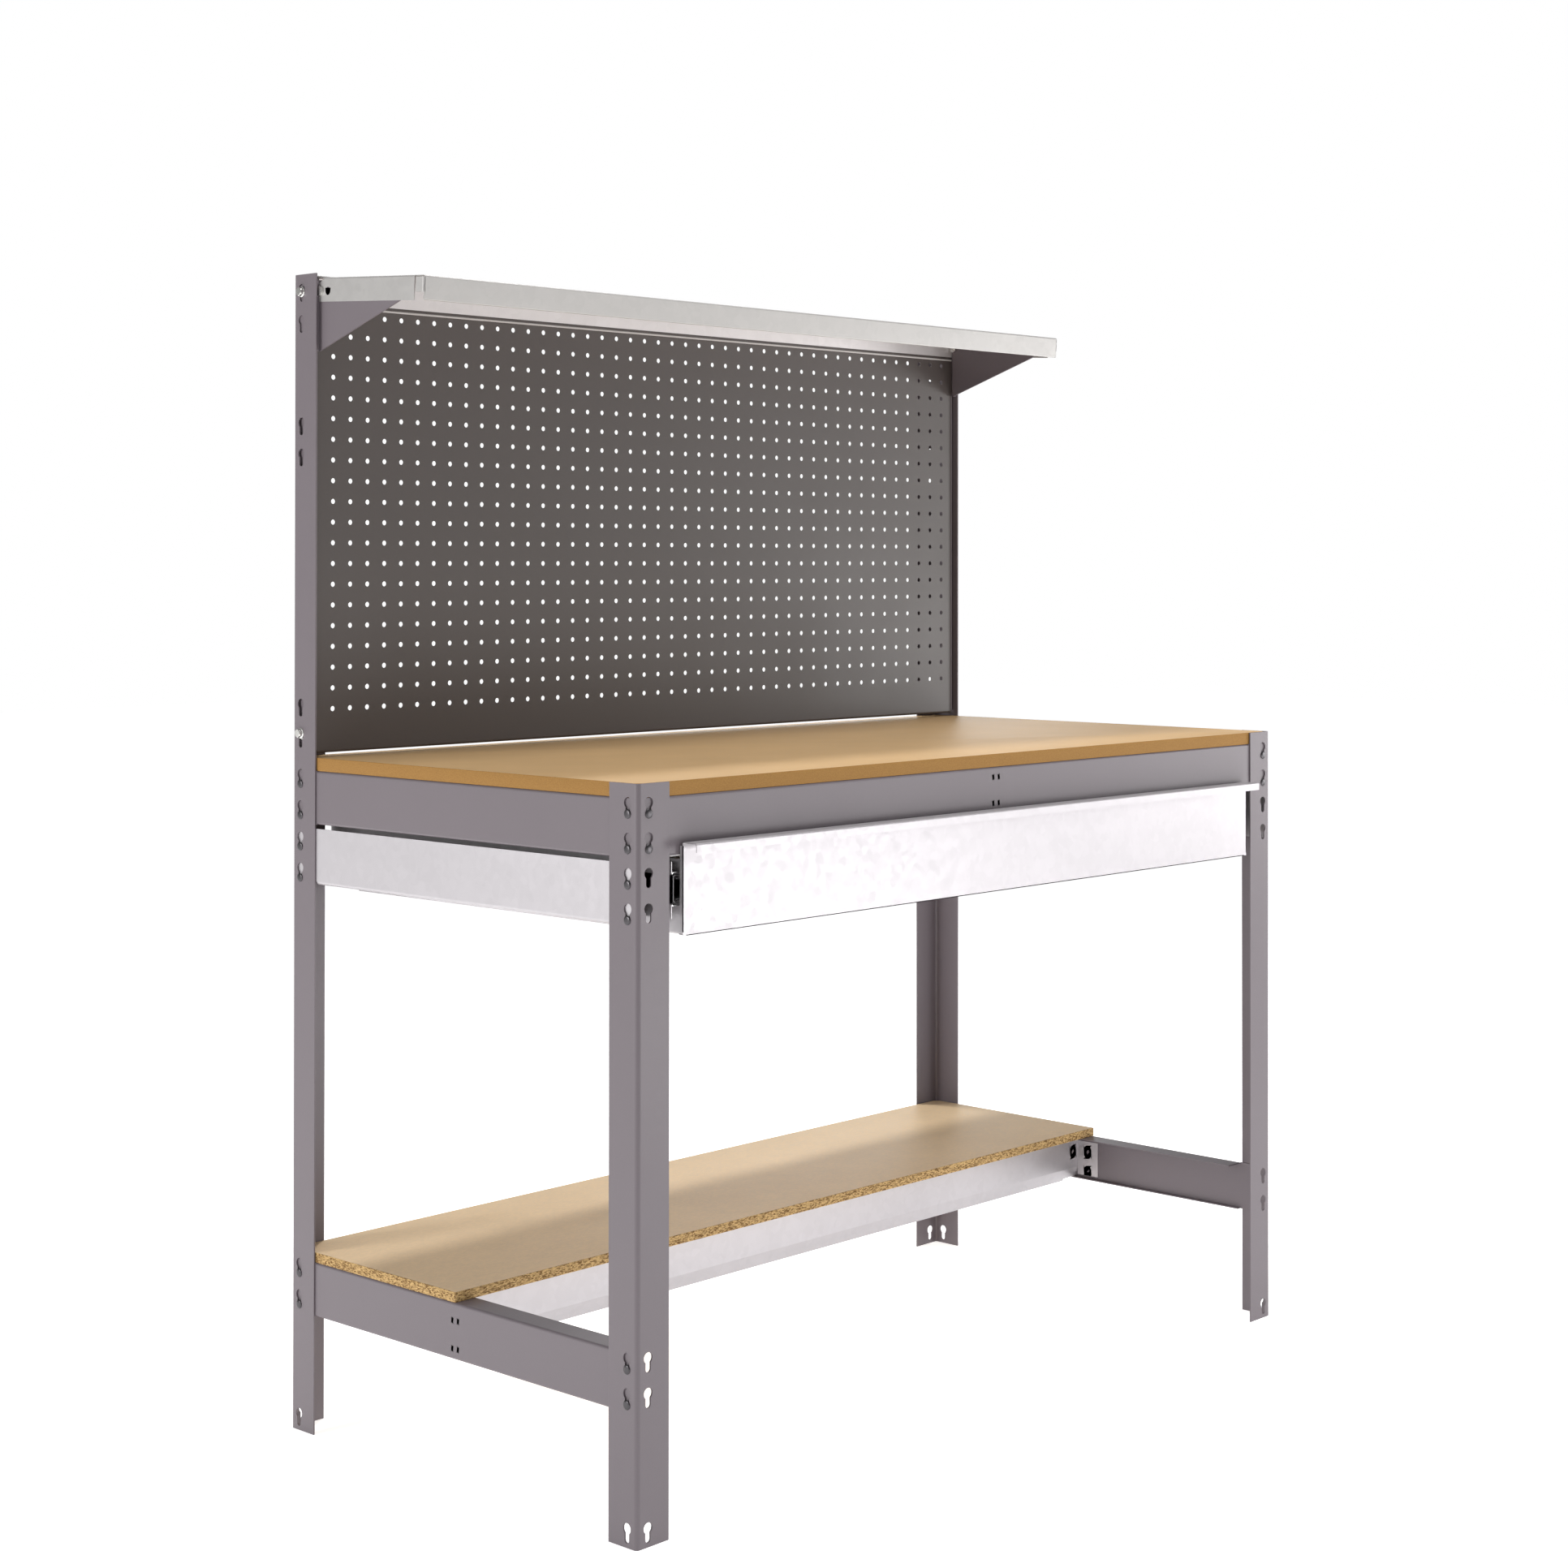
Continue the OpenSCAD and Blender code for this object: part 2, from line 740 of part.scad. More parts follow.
module screw_holes(dx, t) {
  along_x(dx - carrier_x - cut_over, t + 2 * cut_over)
    for (y = screw_ys) translate([slide_y + y, slide_z]) circle(d = screw_d);
}

module slide_outer(right) {
  color([0.8, 0.8, 0.8])
  difference() {
    slide_member(right, 0, slide_h, 0) sheet_channel(outer_w, slide_h, member_t, outer_r);
    on_side(right) screw_holes(0, member_t);
  }
}

module slide_middle(right) {
  color([0.75, 0.75, 0.75])
  slide_member(right, middle_in, middle_h, middle_set_back)
    sheet_channel(middle_w, middle_h, middle_t, middle_r);
}

module slide_inner(right) {
  color([0.82, 0.82, 0.82])
  difference() {
    slide_member(right, slide_t, inner_h, 0) mirror([1, 0])
      sheet_channel(slide_t - inner_in, inner_h, member_t, inner_r);
    on_side(right) screw_holes(slide_t - member_t, member_t);
  }
}

// Ball cage: a thin channel whose leaves hold one row of balls above and one below
module ball_cage(right, dx, ball_dx, ball_dz) {
  h = 2 * ball_dz + cage_leaf;
  leaf_w = ball_dx + ball_r + leaf_over - dx;
  color([0.6, 0.6, 0.62])
  on_side(right)
    translate([-carrier_x, slide_y + cage_start, slide_z]) {
      translate([dx, 0, -h / 2]) cube([cage_t, cage_l, h]);
      for (s = [-1, 1]) translate([dx, 0, s * ball_dz - cage_leaf / 2])
        cube([leaf_w, cage_l, cage_leaf]);
      for (s = [-1, 1]) for (i = [0:ball_rows - 1])
        translate([ball_dx, (i + 0.5) * cage_l / ball_rows, s * ball_dz]) sphere(r = ball_r);
    }
}

outer_ball_z = (slide_h / 2 - member_t + middle_h / 2) / 2;
inner_ball_z = (middle_h / 2 - middle_t + inner_h / 2) / 2;
ball_mid = middle_in + middle_w / 2;

module outer_cage(right) {
  ball_cage(right, cage_outer_in, ball_mid, outer_ball_z);
}

module inner_cage(right) {
  ball_cage(right, cage_inner_in, ball_mid + inner_ball_out, inner_ball_z);
}

// Pan head screw along +x with its seat on x = 0
module pan_screw(shank) {
  rotate([0, -90, 0]) {
    cylinder(d = screw_head_d, h = screw_head_t);
    translate([0, 0, -shank]) cylinder(d = screw_d, h = shank);
  }
}

module carrier_screws() {
  color([0.8, 0.8, 0.78])
  for (right = [false, true]) for (y = screw_ys) on_side(right)
    translate([member_t - carrier_x, slide_y + y, slide_z]) mirror([1, 0, 0])
      pan_screw(member_t + carrier_t + thread_over);
}

module drawer_screws() {
  color([0.8, 0.8, 0.78])
  for (right = [false, true]) for (y = screw_ys) on_side(right)
    translate([slide_t - member_t - carrier_x, slide_y + y, slide_z])
      pan_screw(member_t + drawer_t + thread_over);
}

// Drawer front: a lip folded forward along its top, short returns at its ends, a foot below
module drawer_front() {
  return_gap = 4;
  return_cut = 14;
  color([0.85, 0.83, 0.84]) {
    along_x(-front_x, 2 * front_x) {
      translate([drawer_y, drawer_z]) square([drawer_t, drawer_front_h]);
      translate([drawer_y - pull_reach, drawer_top]) mirror([0, 1])
        sheet_angle(pull_reach + drawer_t, pull_drop, drawer_t, pull_r);
    }
    along_x(-drawer_x + drawer_t, 2 * (drawer_x - drawer_t))
      translate([drawer_y, drawer_z]) square([front_foot, drawer_t]);
    for (right = [false, true]) on_side(right) along_x(-front_x, drawer_t)
      polygon([[drawer_y, drawer_z + return_gap], [drawer_y + front_return,
        drawer_z + return_cut], [drawer_y + front_return, drawer_top - return_gap],
        [drawer_y, drawer_top - return_gap]]);
  }
}

// Bottom and side walls folded from one sheet, with a flange at the front of each wall
module drawer_tray() {
  y0 = drawer_y + drawer_t;
  z0 = drawer_z + drawer_t;
  color([0.82, 0.82, 0.84]) {
    difference() {
      along_y(y0, drawer_d)
        translate([-drawer_x, z0])
          difference() {
            intersection() {
              round_square(2 * drawer_x, 2 * drawer_side_h, 2 * drawer_t);
              square([2 * drawer_x, drawer_side_h]);
            }
            translate([drawer_t, drawer_t])
              round_square(2 * (drawer_x - drawer_t), 2 * drawer_side_h, drawer_t);
          }
      for (right = [false, true]) on_side(right) screw_holes(slide_t, drawer_t);
    }
    for (right = [false, true]) on_side(right)
      translate([drawer_t - drawer_x - drawer_t / 2, y0, z0 + 2 * drawer_t])
        cube([drawer_flange, drawer_t, drawer_side_h - 2 * drawer_t]);
  }
}

module drawer_back() {
  y1 = drawer_y + drawer_t + drawer_d - drawer_back_gap;
  x1 = drawer_x - drawer_t;
  color([0.82, 0.82, 0.84])
  translate([-x1, y1 - drawer_flange, drawer_z + drawer_t + drawer_back_lift])
    linear_extrude(drawer_back_h) {
      translate([0, drawer_flange - drawer_t]) square([2 * x1, drawer_t]);
      for (x = [0, 2 * x1 - drawer_t]) translate([x, 0]) square([drawer_t, drawer_flange]);
    }
}

post(false, false);  // post_front_left
post(true, false);  // post_front_right
post(false, true);  // post_rear_left
post(true, true);  // post_rear_right
beam_across(false, top_beam_z, high_hooks, hook_shift);  // top_beam_front
beam_across(true, top_beam_z, high_hooks, hook_shift);  // top_beam_rear
beam_side(false, top_beam_z, [], 0);  // top_beam_left
beam_side(true, top_beam_z, [], 0);  // top_beam_right
beam_side(false, low_beam_z, low_hooks, -hook_shift);  // lower_beam_left
beam_side(true, low_beam_z, low_hooks, -hook_shift);  // lower_beam_right
beam_across(true, low_beam_z, low_hooks, hook_shift);  // lower_beam_rear
beam_rivets();
worktop();
worktop_stiffener();
lower_shelf();
shelf_cross_beam();
back_panel();
panel_bolts();
panel_nuts();
panel_spacers();
shelf_bracket(false);  // shelf_bracket_left
shelf_bracket(true);  // shelf_bracket_right
upper_shelf();
shelf_bolts();
shelf_nuts();
drawer_carrier(false);  // drawer_carrier_left
drawer_carrier(true);  // drawer_carrier_right
carrier_rivets();
slide_outer(false);  // slide_outer_left
slide_outer(true);  // slide_outer_right
slide_middle(false);  // slide_middle_left
slide_middle(true);  // slide_middle_right
slide_inner(false);  // slide_inner_left
slide_inner(true);  // slide_inner_right
outer_cage(false);  // outer_cage_left
outer_cage(true);  // outer_cage_right
inner_cage(false);  // inner_cage_left
inner_cage(true);  // inner_cage_right
carrier_screws();
drawer_screws();
drawer_front();
drawer_tray();
drawer_back();
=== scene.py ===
import math

import bpy
import numpy as np
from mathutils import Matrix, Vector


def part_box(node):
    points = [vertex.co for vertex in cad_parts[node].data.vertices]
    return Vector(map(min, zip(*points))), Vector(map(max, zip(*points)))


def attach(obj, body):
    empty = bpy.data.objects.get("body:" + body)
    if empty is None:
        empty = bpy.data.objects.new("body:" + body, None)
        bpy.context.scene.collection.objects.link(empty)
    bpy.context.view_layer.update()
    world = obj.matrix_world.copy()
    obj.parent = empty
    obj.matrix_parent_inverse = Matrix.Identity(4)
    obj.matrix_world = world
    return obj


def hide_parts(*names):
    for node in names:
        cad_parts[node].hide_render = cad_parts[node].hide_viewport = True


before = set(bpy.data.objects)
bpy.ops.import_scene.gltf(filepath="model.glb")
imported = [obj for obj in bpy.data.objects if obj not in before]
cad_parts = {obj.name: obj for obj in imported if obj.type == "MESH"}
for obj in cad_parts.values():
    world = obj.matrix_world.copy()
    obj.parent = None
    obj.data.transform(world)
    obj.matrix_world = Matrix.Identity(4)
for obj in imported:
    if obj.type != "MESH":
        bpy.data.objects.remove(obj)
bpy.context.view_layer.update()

print("frame loaded:", len(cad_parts), "nodes")

scene = bpy.context.scene
mm = 0.001
holdWidth = 0.4 * mm  # a station this far from a bend keeps the shading of the flat flat
bendStep = 15  # degrees between the stations of a bend


# A sheet's outer line seen end on: straight legs are numbers, bends are (degrees, radius) pairs.
# Each bend turns the heading evenly about a centre one radius to the left or right of the line, and
# a leg has an extra station a hold width from each bend.
# Returns the run along the line, its points and its left-hand normals.
def foldPath(start, heading, moves):
    point = np.array(start, float)
    angle = math.radians(heading)
    runs, points, normals = [0.0], [point.copy()], [[-math.sin(angle), math.cos(angle)]]

    def station(distance, newPoint, newAngle):
        runs.append(runs[-1] + distance)
        points.append(newPoint.copy())
        normals.append([-math.sin(newAngle), math.cos(newAngle)])

    for number, move in enumerate(moves):
        if isinstance(move, tuple):
            turn, radius = math.radians(move[0]), move[1]
            steps = max(3, round(abs(move[0]) / bendStep))
            side = math.copysign(1, turn)
            centre = point + side * radius * np.array([-math.sin(angle), math.cos(angle)])
            for step in range(1, steps + 1):
                now = angle + turn * step / steps
                newPoint = centre - side * radius * np.array([-math.sin(now), math.cos(now)])
                station(abs(turn) * radius / steps, newPoint, now)
            point, angle = newPoint, now
            continue
        ahead = np.array([math.cos(angle), math.sin(angle)])
        holds = [holdWidth] if number > 0 else []
        holds += [move - holdWidth] if number < len(moves) - 1 else []
        done = 0.0
        for reach in [h for h in holds if holdWidth <= h < move] + [move]:
            if reach > done:
                station(reach - done, point + ahead * reach, angle)
                done = reach
        point = point + ahead * move
    return np.array(runs), np.array(points), np.array(normals)


# A round hole: points at even angles, starting on the right and going round to the left.
def roundHole(diameter, count=24):
    turn = np.arange(count) * 2 * np.pi / count
    return diameter / 2 * np.stack([np.cos(turn), np.sin(turn)], 1)


# An upright slot with round ends: half circles of the slot's width about its two end centres.
def roundSlot(width, height, count=24):
    turn = (np.arange(count) + 0.5) * 2 * np.pi / count
    hole = width / 2 * np.stack([np.cos(turn), np.sin(turn)], 1)
    hole[:, 1] += np.where(hole[:, 1] > 0, 1, -1) * (height - width) / 2
    return hole


# A small upright slot with square corners, its points set along the sides of a rectangle.
def squareSlot(width, height):
    corner = np.array([[1, 0], [1, 1], [0, 1], [-1, 1], [-1, 0], [-1, -1], [0, -1], [1, -1]], float)
    return corner * [width / 2, height / 2]


# A keyhole about the centre of its round head: the head's circle as far as the neck, then the
# neck's straight sides down to a half circle of the neck's width.
def keyhole(head, neck, drop, count=10):
    top = np.radians(np.linspace(0, 180, 2 * count + 1))
    meet = math.degrees(math.acos(neck / head))  # where the head's circle comes to the neck
    left = np.radians(np.linspace(180, 180 + meet, 5))[1:]
    foot = np.radians(np.linspace(180, 360, 2 * (count - 5) + 1))
    right = np.radians(np.linspace(360 - meet, 360, 5))[:-1]
    ring = [head / 2 * np.stack([np.cos(a), np.sin(a)], 1) for a in (top, left)]
    ring.append(neck / 2 * np.stack([np.cos(foot), np.sin(foot)], 1) - [0, drop])
    ring.append(head / 2 * np.stack([np.cos(right), np.sin(right)], 1))
    return np.concatenate(ring)


# A fold path mirrored top to bottom, normals and all.
def mirrored(path):
    return path[0], path[1] * [1, -1], path[2] * [1, -1]


# Joins parts made of (points, quads, triangles, material of quads, material of triangles).
def joinParts(parts):
    points, quads, tris, quadMats, triMats, count = [], [], [], [], [], 0
    for part in parts:
        points.append(part[0])
        quads.append(part[1] + count)
        tris.append(part[2] + count)
        quadMats.append(part[3])
        triMats.append(part[4])
        count += len(part[0])
    return [np.concatenate(group) for group in (points, quads, tris, quadMats, triMats)]


# Turns every face round if the volume under the faces, summed corner by corner, is negative.
def faceOutwards(points, quads, tris):
    flat = np.concatenate([quads[:, [0, 1, 2]], quads[:, [0, 2, 3]], tris])
    a, b, c = (points[flat[:, k]] for k in range(3))
    if np.einsum("ij,ij->i", a, np.cross(b, c)).sum() < 0:
        quads, tris = quads[:, ::-1], tris[:, ::-1]
    return points, quads, tris, np.zeros(len(quads), int), np.zeros(len(tris), int)


# A bent sheet: a run along the fold path by a height along its length, once on the outer line and
# once a thickness further along the normal, or back along it where the thickness is negative. Each
# hole sits in a cell of the grid of its own, where its points fan out to the cell's four corners.
# trim holds runs with the lowest and highest length kept at each.
def foldedSheet(path, thickness, length, toWorld, holes=(), trim=None):
    runs, line, normals = path
    uCuts, vCuts = [runs], [np.array([0.0, length])]
    rooms = []
    for shape, centres, room in holes:
        centres = np.asarray(centres, float).reshape(-1, 2)
        low, high = shape.min(0) - room, shape.max(0) + room
        uCuts += [centres[:, 0] + low[0], centres[:, 0] + high[0]]
        vCuts += [centres[:, 1] + low[1], centres[:, 1] + high[1]]
        rooms.append((shape, centres, low))
    uCuts, vCuts = (np.unique(np.round(np.concatenate(cuts), 6)) for cuts in (uCuts, vCuts))
    nu, nv = len(uCuts), len(vCuts)

    def surface(u, v, depth):
        if trim is not None:
            lows, highs = (np.interp(u, trim[0], trim[k]) for k in (1, 2))
            v = lows + (highs - lows) * v / length
        p, q = (np.interp(u, runs, line[:, k]) + depth * np.interp(u, runs, normals[:, k])
                for k in (0, 1))
        return np.stack(np.broadcast_arrays(*toWorld(p, q, v)), -1).reshape(-1, 3)

    u, v = np.meshgrid(uCuts, vCuts, indexing="ij")
    points = [surface(u, v, 0.0), surface(u, v, thickness)]
    count = 2 * nu * nv
    inner = nu * nv
    i, j = np.meshgrid(np.arange(nu - 1), np.arange(nv - 1), indexing="ij")
    cell = np.stack([i * nv + j, (i + 1) * nv + j, (i + 1) * nv + j + 1, i * nv + j + 1], -1)
    open_ = np.ones((nu - 1, nv - 1), bool)
    quads, tris = [], []
    for shape, centres, low in rooms:
        ci = np.searchsorted(uCuts, centres[:, 0] + low[0] - 1e-5)
        cj = np.searchsorted(vCuts, centres[:, 1] + low[1] - 1e-5)
        open_[ci, cj] = False
        ring = len(shape)
        spot = centres[:, None, :] + shape
        points += [surface(spot[..., 0], spot[..., 1], d) for d in (0.0, thickness)]
        k = np.arange(ring)
        corner = cell[ci, cj][:, [2, 3, 0, 1]]
        for depth in (0, 1):
            base = count + depth * ring * len(centres) + ring * np.arange(len(centres))[:, None]
            here, after = base + k, base + (k + 1) % ring
            fan = np.stack([here, corner[:, k * 4 // ring] + depth * inner, after], -1)
            m = (np.arange(4) + 1) * ring // 4 % ring
            wedge = np.stack([base + m, corner + depth * inner,
                              np.roll(corner, -1, 1) + depth * inner], -1)
            both = np.concatenate([fan.reshape(-1, 3), wedge.reshape(-1, 3)])
            tris.append(both if depth == 0 else both[:, ::-1])
        back = ring * len(centres)
        base = count + ring * np.arange(len(centres))[:, None]
        here, after = base + k, base + (k + 1) % ring
        quads.append(np.stack([here, after, after + back, here + back], -1).reshape(-1, 4))
        count += 2 * ring * len(centres)
    flat = cell[open_]
    quads += [flat, flat[:, ::-1] + inner]
    border = [cell[:, 0, [1, 0]], cell[-1, :, [2, 1]].T, cell[:, -1, [3, 2]], cell[0, :, [0, 3]].T]
    for edge in border:
        quads.append(np.concatenate([edge, edge[:, ::-1] + inner], 1))
    tris = np.concatenate(tris) if tris else np.zeros((0, 3), int)
    return faceOutwards(np.concatenate(points), np.concatenate(quads), tris)


# Faces of closed rings of points, ring after ring: quads between neighbours, and fans that close
# both ends on the two points that follow the rings.
def ringFaces(rings, around):
    i, k = np.meshgrid(np.arange(rings - 1), np.arange(around), indexing="ij")
    after = (k + 1) % around
    quads = np.stack([i * around + k, i * around + after, (i + 1) * around + after,
                      (i + 1) * around + k], -1).reshape(-1, 4)
    ring, last, foot = np.arange(around), (rings - 1) * around, rings * around
    tris = np.concatenate([
        np.stack([np.full(around, foot), (ring + 1) % around, ring], 1),
        np.stack([np.full(around, foot + 1), last + ring, last + (ring + 1) % around], 1)])
    return quads, tris


# A board: its outline carried up through the thickness, drawn in along a quarter circle at both
# faces. The faces take material 0 and the edges material 1.
def board(outline, low, high, roundness, arc=4):
    outline = np.asarray(outline, float)
    ahead = np.roll(outline, -1, 0) - outline
    ahead /= np.linalg.norm(ahead, axis=1)[:, None]
    behind = np.roll(ahead, 1, 0)
    out = np.stack([ahead[:, 1] + behind[:, 1], -ahead[:, 0] - behind[:, 0]], 1)
    out /= (1 + (ahead * behind).sum(1))[:, None]
    turn = np.linspace(0, np.pi / 2, arc + 1)
    draw = np.concatenate([1 - np.sin(turn), 1 - np.sin(turn[::-1])]) * roundness
    rise = np.concatenate([low + (1 - np.cos(turn)) * roundness,
                           high - (1 - np.cos(turn[::-1])) * roundness])
    rings, count = len(draw), len(outline)
    flat = outline[None] - out[None] * draw[:, None, None]
    height = np.broadcast_to(rise[:, None, None], (rings, count, 1))
    points = np.concatenate([flat, height], 2).reshape(-1, 3)
    middle = np.array([[*outline.mean(0), low], [*outline.mean(0), high]])
    quads, tris = ringFaces(rings, count)
    part = list(faceOutwards(np.concatenate([points, middle]), quads, tris))
    part[3][:] = 1
    return part


# A turned part repeated at many places: radius and height stations spun about an axis, each
# station's radius cut down to a hexagon where flats gives the distance to its sides.
def turned(stations, places, flats=None, around=24):
    stations = np.asarray(stations, float)
    spin = (np.arange(around) + 0.5) * 2 * np.pi / around
    radius = np.repeat(stations[1:-1, :1], around, 1)
    if flats is not None:
        side = (spin + math.pi / 6) % (math.pi / 3) - math.pi / 6
        radius = np.minimum(radius, np.asarray(flats)[1:-1, None] / np.cos(side))
    height = np.repeat(stations[1:-1, 1:], around, 1)
    ring = np.stack([radius * np.cos(spin), radius * np.sin(spin), height], -1).reshape(-1, 3)
    shape = np.concatenate([ring, [[0, 0, stations[0, 1]], [0, 0, stations[-1, 1]]]])
    quads, tris = ringFaces(len(stations) - 2, around)
    shape, quads, tris = faceOutwards(shape, quads, tris)[:3]
    origins, axes = (np.array([place[k] for place in places], float) for k in (0, 1))
    aside = np.where(np.abs(axes[:, 2:]) > 0.9, [[1.0, 0, 0]], [[0, 0, 1.0]])
    first = np.cross(aside, axes)
    first /= np.linalg.norm(first, axis=1)[:, None]
    second = np.cross(axes, first)
    basis = np.stack([first, second, axes], 1)
    points = np.einsum("vk,nkc->nvc", shape, basis) + origins[:, None]
    step = (np.arange(len(places)) * len(shape))[:, None, None]
    quads, tris = (quads[None] + step).reshape(-1, 4), (tris[None] + step).reshape(-1, 3)
    return points.reshape(-1, 3), quads, tris, np.zeros(len(quads), int), np.zeros(len(tris), int)


# Puts parts into one mesh object at the origin. It is named for the CAD node that it stands for
# and what it is, and edges where faces turn by more than the sharp angle stay hard.
def makePiece(node, kind, parts, looks, body="bench", sharp=35, bevel=0):
    points, quads, tris, quadMats, triMats = joinParts(parts)
    mesh = bpy.data.meshes.new(f"{node}.{kind}")
    mesh.from_pydata(points.tolist(), [], quads.tolist() + tris.tolist())
    for look in looks:
        mesh.materials.append(finishes[look])
    mesh.polygons.foreach_set("material_index", np.concatenate([quadMats, triMats]).astype(np.int32))
    mesh.polygons.foreach_set("use_smooth", np.ones(len(mesh.polygons), bool))
    mesh.set_sharp_from_angle(angle=math.radians(sharp))
    mesh.update()
    piece = bpy.data.objects.new(f"{node}.{kind}", mesh)
    scene.collection.objects.link(piece)
    if bevel:
        soften = piece.modifiers.new("softEdges", "BEVEL")
        soften.width = bevel
        soften.segments = 2
        soften.limit_method = "ANGLE"
        soften.angle_limit = math.radians(50)
        soften.harden_normals = True
    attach(piece, body)
    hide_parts(node)
    return piece


# A socket that takes part in shader sums: each operator makes one Math node.
class Wire:
    def __init__(self, shade, socket):
        self.shade, self.socket = shade, socket

    def sum(self, operation, first, second=None, clamp=False):
        values = {0: first} if second is None else {0: first, 1: second}
        return self.shade.node("ShaderNodeMath", {"operation": operation, "use_clamp": clamp}, values)

    def __add__(self, other): return self.sum("ADD", self, other)
    def __radd__(self, other): return self.sum("ADD", other, self)
    def __sub__(self, other): return self.sum("SUBTRACT", self, other)
    def __mul__(self, other): return self.sum("MULTIPLY", self, other)
    def clamped(self): return self.sum("ADD", self, 0.0, True)


# A base value plus each pattern's distance from its middle times its amount, kept between 0 and 1.
def swing(base, amounts, *patterns):
    for amount, pattern in zip(amounts, patterns):
        base = base + (pattern - 0.5) * amount
    return base.clamped()


# A node tree that makes a node from a type, settings and socket values.
class Nodes:
    def __init__(self, tree):
        self.tree = tree

    def node(self, kind, settings=None, values=None, output=0):
        made = self.tree.nodes.new(kind)
        for key, value in (settings or {}).items():
            setattr(made, key, value)
        for key, value in (values or {}).items():
            if isinstance(value, Wire):
                self.tree.links.new(value.socket, made.inputs[key])
            else:
                made.inputs[key].default_value = value
        return Wire(self, made.outputs[output])


# One material: its own shader, place in the object and the patterns built on it.
class Shade(Nodes):
    def __init__(self, name, **shaderValues):
        self.material = bpy.data.materials.new(name)
        self.material.use_nodes = True
        super().__init__(self.material.node_tree)
        self.shader = self.tree.nodes["Principled BSDF"]
        for socket, value in shaderValues.items():
            self.shader.inputs[socket.replace("_", " ")].default_value = value
        self.place = self.node("ShaderNodeTexCoord", output="Object")

    def noise(self, scale, detail=2.0, rough=0.5, at=None):
        return self.node("ShaderNodeTexNoise", {}, {"Vector": at or self.place, "Scale": scale,
                         "Detail": detail, "Roughness": rough})

    def stretched(self, x, y, z):
        return self.node("ShaderNodeMapping", {}, {"Vector": self.place, "Scale": (x, y, z)})

    def cells(self, scale, at):
        return self.node("ShaderNodeTexVoronoi", {}, {"Vector": at, "Scale": scale}, "Color")

    def channel(self, colour, index):
        return self.node("ShaderNodeSeparateColor", {}, {0: colour}, index)

    def blend(self, factor, first, second):
        return self.node("ShaderNodeMix", {"data_type": "RGBA"},
                         {0: factor, 6: (*first, 1.0), 7: (*second, 1.0)}, 2)

    def tint(self, colour, look, *patterns):
        ends = [tuple(min(1, share * c) for c in colour) for share in look["shares"]]
        self.feed("Base Color", self.blend(swing(0.5, look["tones"], *patterns), *ends))

    def bump(self, height, strength, distance):
        normal = self.node("ShaderNodeBump", {}, {"Height": height, "Strength": strength,
                           "Distance": distance})
        self.feed("Normal", normal)

    def feed(self, socket, wire):
        self.tree.links.new(wire.socket, self.shader.inputs[socket])


# Powder coat: the colour swung by a slight mottle and fine specks, gloss rubbed by the mottle, and
# an orange-peel bump.
def powderCoat(name, colour, roughness):
    look = {"mottle": (5.0, 4.0, 0.6), "specks": (420.0, 1.0), "peel": (700.0, 1.0),
            "tones": (0.168, 0.14), "shares": (0.82, 1.18), "rub": [0.12], "bump": (0.18, 0.06 * mm)}
    shade = Shade(name, Metallic=0.0, Specular_IOR_Level=0.5)
    mottle, specks, peel = (shade.noise(*look[key]) for key in ("mottle", "specks", "peel"))
    shade.tint(colour, look, mottle, specks)
    shade.feed("Roughness", swing(roughness, look["rub"], mottle))
    shade.bump(peel, *look["bump"])
    return shade.material


# Galvanized sheet: frosty crystals a few millimetres wide, their places drifted a little, each with
# its own brightness and gloss, under clouds, ripples and long streaks.
def galvanized(name, colour, roughness):
    look = {"crystals": 110.0, "driftScale": 60.0, "drift": 0.012, "cloud": (3.0, 3.0),
            "ripple": (30.0, 2.0), "streak": (14.0, 3.0, 0.6), "along": (0.25, 0.25, 3.0),
            "tones": (0.5, 0.9, 0.3, 0.5), "shares": (0.955, 1.045), "metal": 0.5, "gloss": [0.06],
            "relief": 0.4, "bump": (0.06, 0.2 * mm)}
    shade = Shade(name)
    drift = shade.node("ShaderNodeTexNoise", {}, {"Vector": shade.place,
                       "Scale": look["driftScale"]}, "Color")
    drift = shade.node("ShaderNodeVectorMath", {"operation": "SCALE"},
                       {0: drift, "Scale": look["drift"]})
    at = shade.node("ShaderNodeVectorMath", {"operation": "ADD"}, {0: shade.place, 1: drift})
    crystal = shade.cells(look["crystals"], at)
    tone, gloss = (shade.channel(crystal, k) for k in (0, 1))
    cloud, ripple = (shade.noise(*look[key]) for key in ("cloud", "ripple"))
    streak = shade.noise(*look["streak"], shade.stretched(*look["along"]))
    shade.tint(colour, look, tone, cloud, ripple, streak)
    shade.feed("Metallic", swing(look["metal"], look["gloss"], tone))
    shade.feed("Roughness", swing(roughness, look["gloss"], gloss))
    shade.bump(tone * look["relief"] + ripple, *look["bump"])
    return shade.material


# Bright zinc on fixings and slides: metal swung by a cloudy tone, with fine tumbling marks.
def brightZinc(name, colour, roughness):
    look = {"cloud": (90.0, 2.0), "marks": (900.0, 2.0), "tones": [1.2], "shares": (0.86, 1.0),
            "dull": [0.15], "bump": (0.1, 0.05 * mm)}
    shade = Shade(name, Metallic=1.0)
    cloud, marks = (shade.noise(*look[key]) for key in ("cloud", "marks"))
    shade.tint(colour, look, cloud)
    shade.feed("Roughness", swing(roughness, look["dull"], cloud))
    shade.bump(marks, *look["bump"])
    return shade.material


